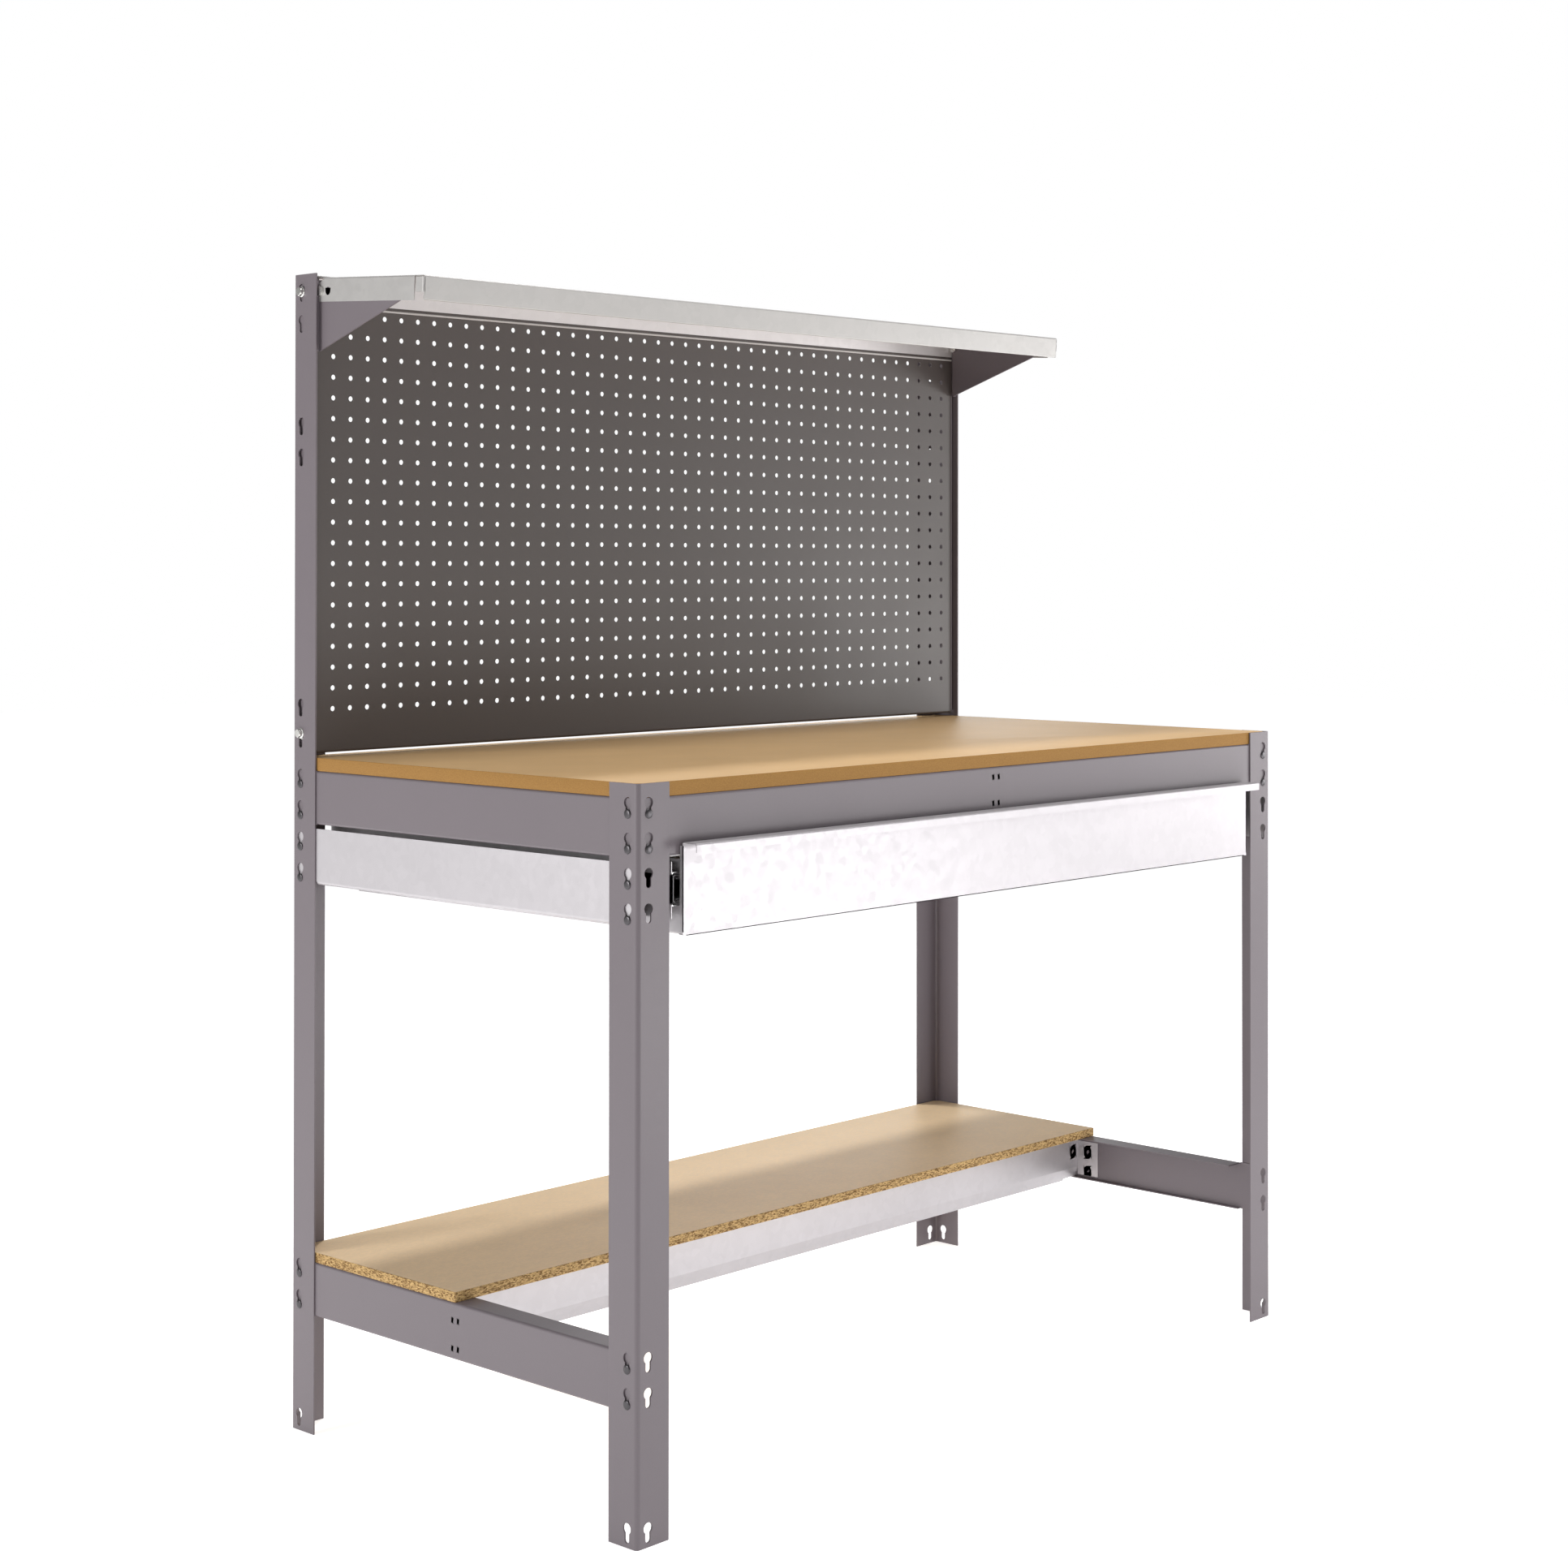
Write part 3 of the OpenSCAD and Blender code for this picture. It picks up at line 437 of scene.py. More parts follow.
# Face of fibreboard: an even tan swung by faint cloudy patches and fine fibres.
def fibreFace(name, colour):
    look = {"cloud": (9.0, 5.0, 0.6), "fibre": (260.0, 3.0, 0.7), "tones": (0.7, 0.8),
            "shares": (0.84, 1.14), "rough": 0.5, "dull": [0.2], "bump": (0.12, 0.1 * mm)}
    shade = Shade(name, Specular_IOR_Level=0.35)
    cloud, fibre = (shade.noise(*look[key]) for key in ("cloud", "fibre"))
    shade.tint(colour, look, cloud, fibre)
    shade.feed("Roughness", swing(look["rough"], look["dull"], fibre))
    shade.bump(fibre, *look["bump"])
    return shade.material


# Sawn edge of a board: cells and fibres flattened along the board, pale and dark flakes of the
# given size.
def sawnEdge(name, colour, dark, flake, contrast):
    look = {"flatten": (1.0, 1.0, 2.6), "fibre": 0.9, "middle": 0.55, "tones": (1.0, 0.9),
            "rough": 0.75, "dull": [0.2], "bump": (0.35, 0.12), "relief": 0.5}
    shade = Shade(name, Specular_IOR_Level=0.25)
    at = shade.stretched(*look["flatten"])
    tone = shade.channel(shade.cells(1.0 / flake, at), 0)
    fibre = shade.noise(look["fibre"] / flake, 3.0, 0.7, at)
    tones = [contrast * share for share in look["tones"]]
    level = swing(0.5 + (look["middle"] - 0.5) * contrast, tones, tone, fibre)
    shade.feed("Base Color", shade.blend(level, dark, colour))
    shade.feed("Roughness", swing(look["rough"], look["dull"], fibre))
    strength, depth = look["bump"]
    shade.bump(tone * look["relief"] + fibre, strength, flake * depth)
    return shade.material


# Face of chipboard: pressed flakes showing through a cloudy, slightly warped tone, sanded flat.
def chipFace(name, colour):
    look = {"flakes": 240.0, "along": (1.0, 1.6, 1.0), "cloud": (6.0, 4.0, 0.6), "warp": (30.0, 3.0),
            "tones": (0.35, 0.6, 0.3), "shares": (0.85, 1.12), "rough": 0.55, "dull": [0.15],
            "bump": (0.08, 0.1 * mm)}
    shade = Shade(name, Specular_IOR_Level=0.3)
    tone = shade.channel(shade.cells(look["flakes"], shade.stretched(*look["along"])), 0)
    cloud, warp = (shade.noise(*look[key]) for key in ("cloud", "warp"))
    shade.tint(colour, look, tone, cloud, warp)
    shade.feed("Roughness", swing(look["rough"], look["dull"], tone))
    shade.bump(tone, *look["bump"])
    return shade.material


finishes = {
    "paint": powderCoat("greyPowderCoat", (0.16, 0.136, 0.15), 0.42),
    "panelPaint": powderCoat("panelPowderCoat", (0.074, 0.061, 0.057), 0.45),
    # pale coat of the panel's rib: a painted highlight line
    "beadPaintedHighlight": powderCoat("beadPaintedHighlightCoat", (0.5, 0.48, 0.47), 0.4),
    "galvanized": galvanized("galvanizedSheet", (0.52, 0.497, 0.515), 0.4),
    "slide": brightZinc("slideSteel", (0.72, 0.72, 0.72), 0.3),
    "zinc": brightZinc("brightZinc", (0.86, 0.85, 0.82), 0.22),
    # near-black rivet metal: painted shade for the dark of the keyholes round the heads
    "rivet": brightZinc("rivetPaintedShadeSteel", (0.09, 0.085, 0.09), 0.34),
    "tray": galvanized("trayZinc", (0.46, 0.447, 0.435), 0.45),
    # lighter zinc for the tray's inner side: painted light on its underside and rear flange
    "trayPaintedLight": galvanized("trayPaintedLightZinc", (0.6, 0.575, 0.575), 0.45),
    "fibreFace": fibreFace("fibreboardFace", (0.52, 0.34, 0.165)),
    "fibreEdge": sawnEdge("fibreboardEdge", (0.4, 0.215, 0.058), (0.25, 0.125, 0.035), 0.0012, 0.5),
    "chipFace": chipFace("chipboardFace", (0.74, 0.55, 0.34)),
    "chipEdge": sawnEdge("chipboardEdge", (0.6, 0.4, 0.17), (0.16, 0.08, 0.025), 0.003, 1.3),
}
print("finishes made:", ", ".join(finishes))


# Places of the bench that the pieces share, read from the frame.
postLow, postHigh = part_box("post_front_left")
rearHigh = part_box("post_rear_left")[1]
halfWidth, frontY, rearY = -postLow.x, postLow.y, rearHigh.y
benchTop, rearTop = postHigh.z, rearHigh.z
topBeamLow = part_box("top_beam_front")[0].z
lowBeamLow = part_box("lower_beam_left")[0].z
hands = (("left", -1), ("right", 1))

sheet = {  # what the boltless frame parts share
    "leg": 46 * mm, "post": 2 * mm, "postBend": 5 * mm, "inset": 16 * mm, "pitch": 38.1 * mm,
    "beamHeight": 65 * mm, "flange": 30 * mm, "lip": 8 * mm, "beam": 1.5 * mm, "endGap": 6 * mm,
    "rivetLow": 10 * mm,
}


# Outer face along y and the way inwards from it, for a front or a rear corner.
def cornerY(rear):
    return (rearY, -1) if rear else (frontY, 1)


# Posts: an angle's outer line carried up, with keyholes down both legs. Their heights count from
# the beams' lowest rivets, and on the rear posts also from the bench top and the post's own top.
def makePosts():
    post = {"head": 12 * mm, "neck": 7.2 * mm, "drop": 12 * mm, "headToSeat": 18 * mm,
            "foot": 26.8 * mm, "room": 1.2 * mm, "edge": 0.35 * mm,
            "overBench": 71 * mm, "belowTop": (11.6 * mm, 175.1 * mm)}
    leg, bend, pitch, inset = (sheet[key] for key in ("leg", "postBend", "pitch", "inset"))
    path = foldPath((leg, 0), 180, [leg - bend, (-90, bend), leg - bend])
    hole = keyhole(post["head"], post["neck"], post["drop"])
    lift = sheet["rivetLow"] + post["headToSeat"]
    tops = [topBeamLow + lift + k * pitch for k in (-2, -1, 0, 1)]
    tops += [lowBeamLow + lift, lowBeamLow + lift + pitch, post["foot"]]
    rearTops = [benchTop + post["overBench"] - k * pitch for k in (0, 1)]
    rearTops += [rearTop - d - k * pitch for d in post["belowTop"] for k in (0, 1)]
    for hand, side in hands:
        for rear in (False, True):
            y0, inward = cornerY(rear)
            heights = np.array(tops + (rearTops if rear else [])) - post["head"] / 2
            centres = [(u, z) for u in (leg - inset, path[0][-1] - leg + inset) for z in heights]
            part = foldedSheet(path, -sheet["post"], rearTop if rear else benchTop,
                               lambda p, q, v: (side * (halfWidth - p), y0 + inward * q, v),
                               [(hole, centres, post["room"])])
            makePiece(f"post_{'rear' if rear else 'front'}_{hand}", "sheet", [part], ["paint"],
                      bevel=post["edge"])


# A beam along its run: a C line carried over the flanged stretch, with a pair of square hook slots
# about its middle at each height, and a flat plate of the web's height at both ends.
def beamParts(length, toWorld, hookHeights, shift):
    beam = {"slot": (3.2 * mm, 6 * mm), "slotPitch": 10.3 * mm, "room": 0.8 * mm, "bend": 3 * mm,
            "clear": 2 * mm}
    height, bend = sheet["beamHeight"], beam["bend"]
    cut = sheet["leg"] + beam["clear"] - sheet["endGap"]
    path = foldPath((sheet["flange"], height), 180,
                    [sheet["flange"] - bend, (90, bend), height - 2 * bend, (90, bend),
                     sheet["lip"] - bend])
    webFoot = path[0][-1] - (sheet["lip"] - bend) - math.pi / 2 * bend  # run where the web ends
    centres = [(webFoot + bend - z, length / 2 - cut + shift + k * beam["slotPitch"] / 2)
               for z in hookHeights for k in (-1, 1)]
    hole = squareSlot(*beam["slot"])[:, ::-1][::-1]  # laid along the run, still turning leftwards
    parts = [foldedSheet(path, sheet["beam"], length - 2 * cut,
                         lambda p, q, v: toWorld(p, q, v + cut),
                         [(hole, centres, beam["room"])] if centres else ())]
    plate = foldPath((0, height), -90, [height])
    for start in (0, length - cut):
        parts.append(foldedSheet(plate, sheet["beam"], cut,
                                 lambda p, q, v: toWorld(p, q, v + start)))
    return parts


# Beams: front and rear ones run along x, side ones along y, all just inside the posts' legs. The
# beams that carry a stiffener have its hook slots.
def makeBeams():
    hooks = {"near": 12.5 * mm, "far": 44.8 * mm, "shift": 1.9 * mm}
    high = [sheet["beamHeight"] - hooks["near"], sheet["beamHeight"] - hooks["far"]]
    low = [hooks["near"], hooks["far"]]
    reach = halfWidth - sheet["endGap"]
    for name, rear, z, heights in (("top_beam_front", False, topBeamLow, high),
                                   ("top_beam_rear", True, topBeamLow, high),
                                   ("lower_beam_rear", True, lowBeamLow, low)):
        y0, inward = cornerY(rear)
        parts = beamParts(2 * reach, lambda p, q, v: (
            v - reach, y0 + inward * (sheet["post"] + p), z + q), heights, hooks["shift"])
        makePiece(name, "sheet", parts, ["paint"])
    run = rearY - frontY - 2 * sheet["endGap"]
    for level, z, heights in (("top", topBeamLow, []), ("lower", lowBeamLow, low)):
        for hand, side in hands:
            parts = beamParts(run, lambda p, q, v: (
                side * (halfWidth - sheet["post"] - p), frontY + sheet["endGap"] + v, z + q),
                heights, -hooks["shift"])
            makePiece(f"{level}_beam_{hand}", "sheet", parts, ["paint"])


# Places and outward axes of rivets on both hands of the bench. A row says whether it is at the
# rear, how high, and whether it goes through the leg that faces front or rear.
def rivetPlaces(rows):
    places = []
    for side in (-1, 1):
        for rear, z, across in rows:
            y0, inward = cornerY(rear)
            if across:
                places.append(((side * (halfWidth - sheet["inset"]), y0, z), (0, -inward, 0)))
            else:
                places.append(((side * halfWidth, y0 + inward * sheet["inset"], z), (side, 0, 0)))
    return places


# Rivets: a low domed head outside the post, a shank through both sheets and a flat tail inside,
# spun about the axis. The dome is given as shares of the head's radius and rise.
def makeRivets():
    rivet = {"head": 5.25 * mm, "rise": 1.6 * mm, "shank": 3.2 * mm, "tail": 4.5 * mm,
             "tailRise": 1.2 * mm, "tailFlat": 0.75, "tailEdge": 0.3 * mm, "grip": 3.5 * mm,
             "carrierGrip": 3.2 * mm, "sharp": 50,
             "dome": ((0.97, 0), (1, 0.3), (0.93, 0.6), (0.72, 0.88), (0.4, 1))}
    shank, tail = rivet["shank"], rivet["tail"]
    head = [(rivet["head"] * wide, rivet["rise"] * high) for wide, high in rivet["dome"]]

    def outline(grip):
        back = -grip - rivet["tailRise"]
        foot = [(0, back), (tail * rivet["tailFlat"], back), (tail, back + rivet["tailEdge"])]
        return foot + [(tail, -grip), (shank, -grip), (shank, 0)] + head + [(0, rivet["rise"])]

    pairs = [sheet["rivetLow"] + k * sheet["pitch"] for k in (0, 1)]
    rows = [(rear, topBeamLow + d, across) for rear in (False, True) for d in pairs
            for across in (False, True)]
    rows += [(rear, lowBeamLow + d, False) for rear in (False, True) for d in pairs]
    rows += [(True, lowBeamLow + d, True) for d in pairs]
    below = topBeamLow - 2 * sheet["pitch"]
    carrierRows = [(rear, below + d, False) for rear in (False, True) for d in pairs]
    for node, grip, places, slotName in (
            ("beam_rivets", rivet["grip"], rivetPlaces(rows), "painted_steel"),
            ("carrier_rivets", rivet["carrierGrip"], rivetPlaces(carrierRows), "zinc_fixings")):
        makePiece(node, "heads", [turned(outline(grip), places)], ["rivet"],
                  sharp=rivet["sharp"])


makePosts()
makeBeams()
makeRivets()
print("posts, beams and rivets made")


# Boards: the CAD box's rectangle with its corners cut off at 45 degrees to clear the posts. The
# shelf stops short of the front posts, so only its rear corners are cut.
def makeBoards():
    boards = {"corner": 7.07 * mm, "edge": 0.6 * mm}
    for name, face, edge, slotName, cuts in (
            ("worktop", "fibreFace", "fibreEdge", "worktop_board", (True, True)),
            ("lower_shelf", "chipFace", "chipEdge", "shelf_board", (False, True))):
        low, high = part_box(name)
        c, points = boards["corner"], []
        outline = [(low.x, low.y), (high.x, low.y), (high.x, high.y), (low.x, high.y)]
        for k, (x, y) in enumerate(outline):
            if not cuts[k // 2]:
                points.append((x, y))
                continue
            sx, sy = (1 if x < 0 else -1), (1 if k < 2 else -1)
            near, far = (x, y + sy * c), (x + sx * c, y)
            points += [near, far] if k in (0, 2) else [far, near]
        part = board(points, low.z, high.z, boards["edge"])
        makePiece(name, "board", [part], [face, edge])


makeBoards()
print("boards made")


# The panel: a sheet folded back at its top and bottom hems with a grid of holes in its flat, side
# returns folded the same way along both ends, and a small half-round rib across it below the tray,
# coated pale as a painted highlight line.
def makePanel():
    panel = {"sheet": 1 * mm, "fold": 3 * mm, "leg": 1 * mm, "hem": 14 * mm, "return": 28 * mm,
             "pitch": 25.4 * mm, "hole": 6.5 * mm, "room": 4 * mm, "firstRow": 47 * mm,
             "rows": 20, "columns": 45, "beadDrop": 38.5 * mm, "beadSheet": 0.5 * mm,
             "bead": (1.2 * mm, 0.3 * mm, 0.3 * mm)}
    low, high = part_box("back_panel")
    fold, hem = panel["fold"], panel["hem"]
    inner = fold + panel["leg"]
    path = foldPath((low.y + hem, low.z), 180,
                    [hem - fold, (-90, fold), high.z - low.z - 2 * fold, (-90, fold), hem - fold])
    flatStart = hem - fold + math.pi / 2 * fold
    rows = high.z - panel["firstRow"] - panel["pitch"] * np.arange(panel["rows"])
    columns = panel["pitch"] * (np.arange(panel["columns"]) - (panel["columns"] - 1) / 2)
    width = high.x - low.x - 2 * inner
    centres = [(flatStart + z - low.z - fold, x + width / 2) for z in rows for x in columns]
    parts = [foldedSheet(path, -panel["sheet"], width, lambda p, q, v: (v - width / 2, p, q),
                         [(roundHole(panel["hole"], 16), centres, panel["room"])])]
    bulge, rise, root = panel["bead"]
    rib = foldPath((low.y + root, high.z - panel["beadDrop"]), 180,
                   [root, (-90, bulge), rise, (-90, bulge), root])
    parts.append(foldedSheet(rib, -panel["beadSheet"], width,
                             lambda p, q, v: (v - width / 2, p, q)))
    # the rib takes the pale coat, a painted highlight line
    parts[1][3][:] = 2
    bend = mirrored(foldPath((inner, 0), 180, [inner - fold, (90, fold), panel["return"] - fold]))
    for side in (-1, 1):
        part = foldedSheet(bend, panel["sheet"], high.z - low.z - 2 * inner,
                           lambda p, q, v: (side * (high.x - p), low.y + q, v + low.z + inner))
        # the returns take the posts' lighter coat and the face the darker panel coat, so one sheet
        # shows two colours
        part[3][:] = 1
        parts.append(part)
    makePiece("back_panel", "sheet", parts, ["panelPaint", "paint", "beadPaintedHighlight"])


# The tray's section carried along its length in its own sloping frame, where x runs along it, y
# towards the panel from the rear edge and z up from the top face. Flaps close its two ends, and
# short tabs turn round the front corners.
def makeTray():
    tray = {"sheet": 1 * mm, "bend": 2 * mm, "leg": 1 * mm, "flange": 29.5 * mm, "hem": 6 * mm,
            "curl": 1.05 * mm, "slope": 3, "flapFront": 17 * mm, "flapRear": 5.5 * mm,
            "flapCut": (10 * mm, 7 * mm), "tab": 14.5 * mm, "tabHeight": 20 * mm,
            "depth": 210 * mm, "topGap": 5 * mm, "backGap": 2 * mm, "room": 0.6 * mm,
            "boltInset": 7.5 * mm, "boltDrop": 16.5 * mm, "boltHole": 6.4 * mm,
            "spareInset": 22.5 * mm, "spareHole": 10 * mm}
    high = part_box("upper_shelf")[1]
    rearTopY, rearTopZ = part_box("back_panel")[0].y - tray["backGap"], rearTop - tray["topGap"]
    slope = math.radians(tray["slope"])
    depth, bend, flange, curl = tray["depth"], tray["bend"], tray["flange"], tray["curl"]

    def inTray(x, y, z):
        return (x, rearTopY + y * math.cos(slope) - z * math.sin(slope),
                rearTopZ + y * math.sin(slope) + z * math.cos(slope))

    # hem at the foot of the front flange, front flange, top, rear flange
    path = foldPath((-depth + 2 * curl, -flange + tray["hem"]), -90,
                    [tray["hem"] - curl, (-180, curl), flange - curl - bend, (-90, bend),
                     depth - 2 * bend, (-90, bend), flange - bend])
    half = high.x - bend
    parts = [foldedSheet(path, -tray["sheet"], 2 * half, lambda p, q, v: inTray(v - half, p, q))]
    cells = len(path[0]) - 1
    parts[0][3][cells:2 * cells] = 1  # inner side in lighter zinc: painted light on the underside
    flapStart, flapLength = tray["flapFront"] - depth, depth - tray["flapRear"] - tray["flapFront"]
    leg, (cutAlong, cutDown) = bend + tray["leg"], tray["flapCut"]
    fold = foldPath((leg, 0), 180, [leg - bend, (90, bend), cutDown - bend, flange - cutDown])
    run = leg - bend + math.pi / 2 * bend
    holes = [(roundHole(tray[f"{kind}Hole"]), [(run + tray["boltDrop"] - bend,
              -tray[f"{kind}Inset"] - flapStart)], tray["room"]) for kind in ("bolt", "spare")]
    full = np.full(4, flapLength)
    cut = [0, run, run + cutDown - bend, fold[0][-1]], 0 * full, full - [cutAlong, cutAlong, 0, 0]
    corner = foldPath((0, tray["tab"]), -90, [tray["tab"] - bend, (90, bend), leg - bend])
    tabLow = tray["tabHeight"]
    for side in (-1, 1):
        parts.append(foldedSheet(fold, tray["sheet"], flapLength,
                                 lambda p, q, v: inTray(side * (high.x - p), flapStart + v, q),
                                 holes, cut))
        parts.append(foldedSheet(corner, tray["sheet"], tabLow - bend,
                                 lambda p, q, v: inTray(side * (high.x - p), q - depth,
                                                        v - tabLow)))
    makePiece("upper_shelf", "sheet", parts, ["tray", "trayPaintedLight"])


makePanel()
makeTray()
print("panel and tray made")


# The drawer's front: its section carried across, from the pull lip over the top and down the face,
# with a foot under the tray and end returns whose lower corners run out in a slant.
def makeDrawerFront():
    front = {"sheet": 1 * mm, "reach": 22 * mm, "drop": 10 * mm, "bend": 2 * mm, "foot": 12 * mm,
             "return": 5 * mm, "leastReturn": 0.2 * mm, "endGap": 4 * mm, "cut": 14 * mm}
    low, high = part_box("drawer_front")
    bend, face, height = front["bend"], low.y + front["reach"], high.z - low.z
    path = foldPath((low.y, high.z - front["drop"]), 90,
                    [front["drop"] - bend, (-90, bend),
                     front["reach"] - 2 * bend + front["sheet"], (-90, bend), height - bend])
    parts = [foldedSheet(path, -front["sheet"], high.x - low.x, lambda p, q, v: (v + low.x, p, q))]
    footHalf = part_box("drawer_tray")[1].x - front["sheet"]
    foot = foldPath((face, low.z), 0, [front["foot"]])
    parts.append(foldedSheet(foot, front["sheet"], 2 * footHalf,
                             lambda p, q, v: (v - footHalf, p, q)))
    slant, whole = front["cut"] - front["endGap"], height - 2 * front["endGap"]
    edge = foldPath((0, low.z + front["endGap"]), 90, [slant, whole - slant])
    reach = np.interp(edge[0], [0, slant, whole],
                      [front["leastReturn"], front["return"], front["return"]])
    for side in (-1, 1):
        parts.append(foldedSheet(edge, -front["sheet"], front["return"],
                                 lambda p, q, v: (side * (high.x - p), face + v, q),
                                 (), (edge[0], 0 * reach, reach)))
    makePiece("drawer_front", "sheet", parts, ["galvanized"], "drawer")


# The drawer's tray: a U line carried from front to back, a flange on both front edges, and the
# back wall as an upright sheet whose plan is a U that opens forwards.
def makeDrawerTray():
    tray = {"sheet": 1 * mm, "bend": 2 * mm, "flange": 12 * mm, "flangeInset": 0.6 * mm}
    bend = tray["bend"]
    low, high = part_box("drawer_tray")
    wall, across = high.z - low.z - bend, high.x - low.x - 2 * bend
    path = foldPath((low.x, high.z), -90, [wall, (90, bend), across, (90, bend), wall])
    parts = [foldedSheet(path, tray["sheet"], high.y - low.y, lambda p, q, v: (p, low.y + v, q))]
    lip = foldPath((0, 0), 0, [tray["flange"]])
    for side in (-1, 1):
        parts.append(foldedSheet(lip, tray["sheet"], wall, lambda p, q, v: (
            side * (high.x - tray["flangeInset"] - p), low.y + q, low.z + bend + v)))
    makePiece("drawer_tray", "sheet", parts, ["galvanized"], "drawer")
    low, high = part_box("drawer_back")
    wing, across = high.y - low.y - bend, high.x - low.x - 2 * bend
    path = foldPath((low.x, low.y), 90, [wing, (-90, bend), across, (-90, bend), wing])
    parts = [foldedSheet(path, -tray["sheet"], high.z - low.z, lambda p, q, v: (p, q, v + low.z))]
    makePiece("drawer_back", "sheet", parts, ["galvanized"], "drawer")


# Carriers: a trough line carried between the posts, and flat plates that lengthen its two walls,
# the outer one past both posts and the inner one out to the slide and to the rear.
def makeCarriers():
    carrier = {"sheet": 1.2 * mm, "bend": 4 * mm, "floorGap": 2 * mm, "innerHeight": 66 * mm}
    for hand, side in hands:
        low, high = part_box(f"drawer_carrier_{hand}")
        inner, outer = sorted((abs(low.x), abs(high.x)))
        bend, inset = carrier["bend"], sheet["leg"] + carrier["floorGap"]
        run = rearY - frontY - 2 * inset
        path = foldPath((outer, high.z), -90,
                        [high.z - low.z - bend, (-90, bend), outer - inner - 2 * bend, (-90, bend),
                         carrier["innerHeight"] - bend])
        parts = [foldedSheet(path, -carrier["sheet"], run,
                             lambda p, q, v: (side * p, frontY + inset + v, q))]
        near, far = frontY + inset, frontY + inset + run
        slideStart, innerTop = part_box(f"slide_outer_{hand}")[0].y, low.z + carrier["innerHeight"]
        for x, way, top, start, end in (
                (outer, -1, high.z, low.y, near), (outer, -1, high.z, far, high.y),
                (inner, 1, innerTop, slideStart, near), (inner, 1, innerTop, far, high.y)):
            plate = foldPath((0, low.z + bend), 90, [top - low.z - bend])
            parts.append(foldedSheet(plate, carrier["sheet"], end - start,
                                     lambda p, q, v: (side * (x - way * p), start + v, q)))
        makePiece(f"drawer_carrier_{hand}", "sheet", parts, ["galvanized"])


# Slide members: a C line with rolled corners carried along the member. Outer and middle members
# open towards the drawer, the inner one away from it.
def makeSlides():
    member = {"outer": (1.2 * mm, 2 * mm), "middle": (1 * mm, 1.5 * mm), "inner": (1.2 * mm, 1.8 * mm)}
    for hand, side in hands:
        for kind, body in (("outer", "bench"), ("middle", f"middle_{hand}"), ("inner", "drawer")):
            node = f"slide_{kind}_{hand}"
            low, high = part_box(node)
            near, far = sorted((abs(low.x), abs(high.x)))
            web, lipWay = (near, 1) if kind == "inner" else (far, -1)
            thick, bend = member[kind]
            wide = high.x - low.x
            path = mirrored(foldPath((wide, 0), 180, [
                wide - bend, (90, bend), high.z - low.z - 2 * bend, (90, bend), wide - bend]))
            part = foldedSheet(path, -thick, high.y - low.y,
                               lambda p, q, v: (side * (web + lipWay * p), low.y + v, low.z + q))
            makePiece(node, "channel", [part], ["slide"], body)


makeDrawerFront()
makeDrawerTray()
makeCarriers()
makeSlides()
print("drawer, carriers and slides made")


# Stiffeners under the boards: a flange and a web with a kicked foot carried between the ends, the
# web alone at both ends with a window in it, and an end plate with two windows across each end.
def makeBraces():
    brace = {"sheet": 1.2 * mm, "bend": 2 * mm, "flange": 30 * mm, "kickStart": 16 * mm,
             "kick": 3 * mm, "kickBend": 3 * mm, "clear": 2 * mm, "plate": 38 * mm,
             "plateTop": 10 * mm, "plateFoot": 5 * mm, "window": (14 * mm, 20 * mm),
             "windowDrop": 25.5 * mm, "windowPitch": 30 * mm, "windowEdge": 12 * mm,
             "play": 0.4 * mm, "room": 1 * mm}
    window = roundSlot(*brace["window"])[:, ::-1][::-1]  # laid along the run, still turning leftwards
    drops = [brace["windowDrop"] + k * brace["windowPitch"] for k in (0, 1)]
    flange, bend, room = brace["flange"], brace["bend"], brace["room"]
    inset, depth = flange + brace["clear"], sheet["beamHeight"]
    slant = math.hypot(brace["kickStart"], brace["kick"])
    tilt = math.degrees(math.atan2(brace["kick"], brace["kickStart"])), brace["kickBend"]
    drop, lipTrim = depth - brace["kickStart"], sheet["beam"] + brace["play"]
    full = foldPath((flange, 0), 180, [flange - bend, (90, bend), drop - bend, tilt, slant])
    webOnly = foldPath((0, -lipTrim), -90, [drop - lipTrim, tilt, slant - lipTrim - room])
    plate = foldPath((0, -brace["plateTop"]), -90,
                     [depth - brace["plateTop"] - brace["plateFoot"]])
    plateWindows = [(d - brace["plateTop"], brace["plate"] / 2) for d in drops]
    for name, along in (("shelf_cross_beam", 0), ("worktop_stiffener", 1)):
        low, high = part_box(name)
        startAlong = low[along] + sheet["beam"]  # the hooks reach through the beam's web
        length = high[along] - low[along] - 2 * sheet["beam"]
        web, top = low[1 - along] + brace["plate"], high.z

        def place(across, v, z):
            if along == 0:
                return startAlong + v, web + across, top + z
            return web + across, startAlong + v, top + z

        parts = [foldedSheet(full, brace["sheet"], length - 2 * inset,
                             lambda p, q, v: place(p, v + inset, q))]
        for start, middle in ((0, brace["windowEdge"]), (length - inset, inset - brace["windowEdge"])):
            parts.append(foldedSheet(webOnly, brace["sheet"], inset,
                                     lambda p, q, v: place(p, v + start, q),
                                     [(window, [(drops[0] - lipTrim, middle)], room)]))
        for start, way in ((0, 1), (length, -1)):
            parts.append(foldedSheet(plate, brace["sheet"], brace["plate"],
                                     lambda p, q, v: place(-v, start + way * p, q),
                                     [(window, plateWindows, room)]))
        makePiece(name, "sheet", parts, ["galvanized"])


makeBraces()


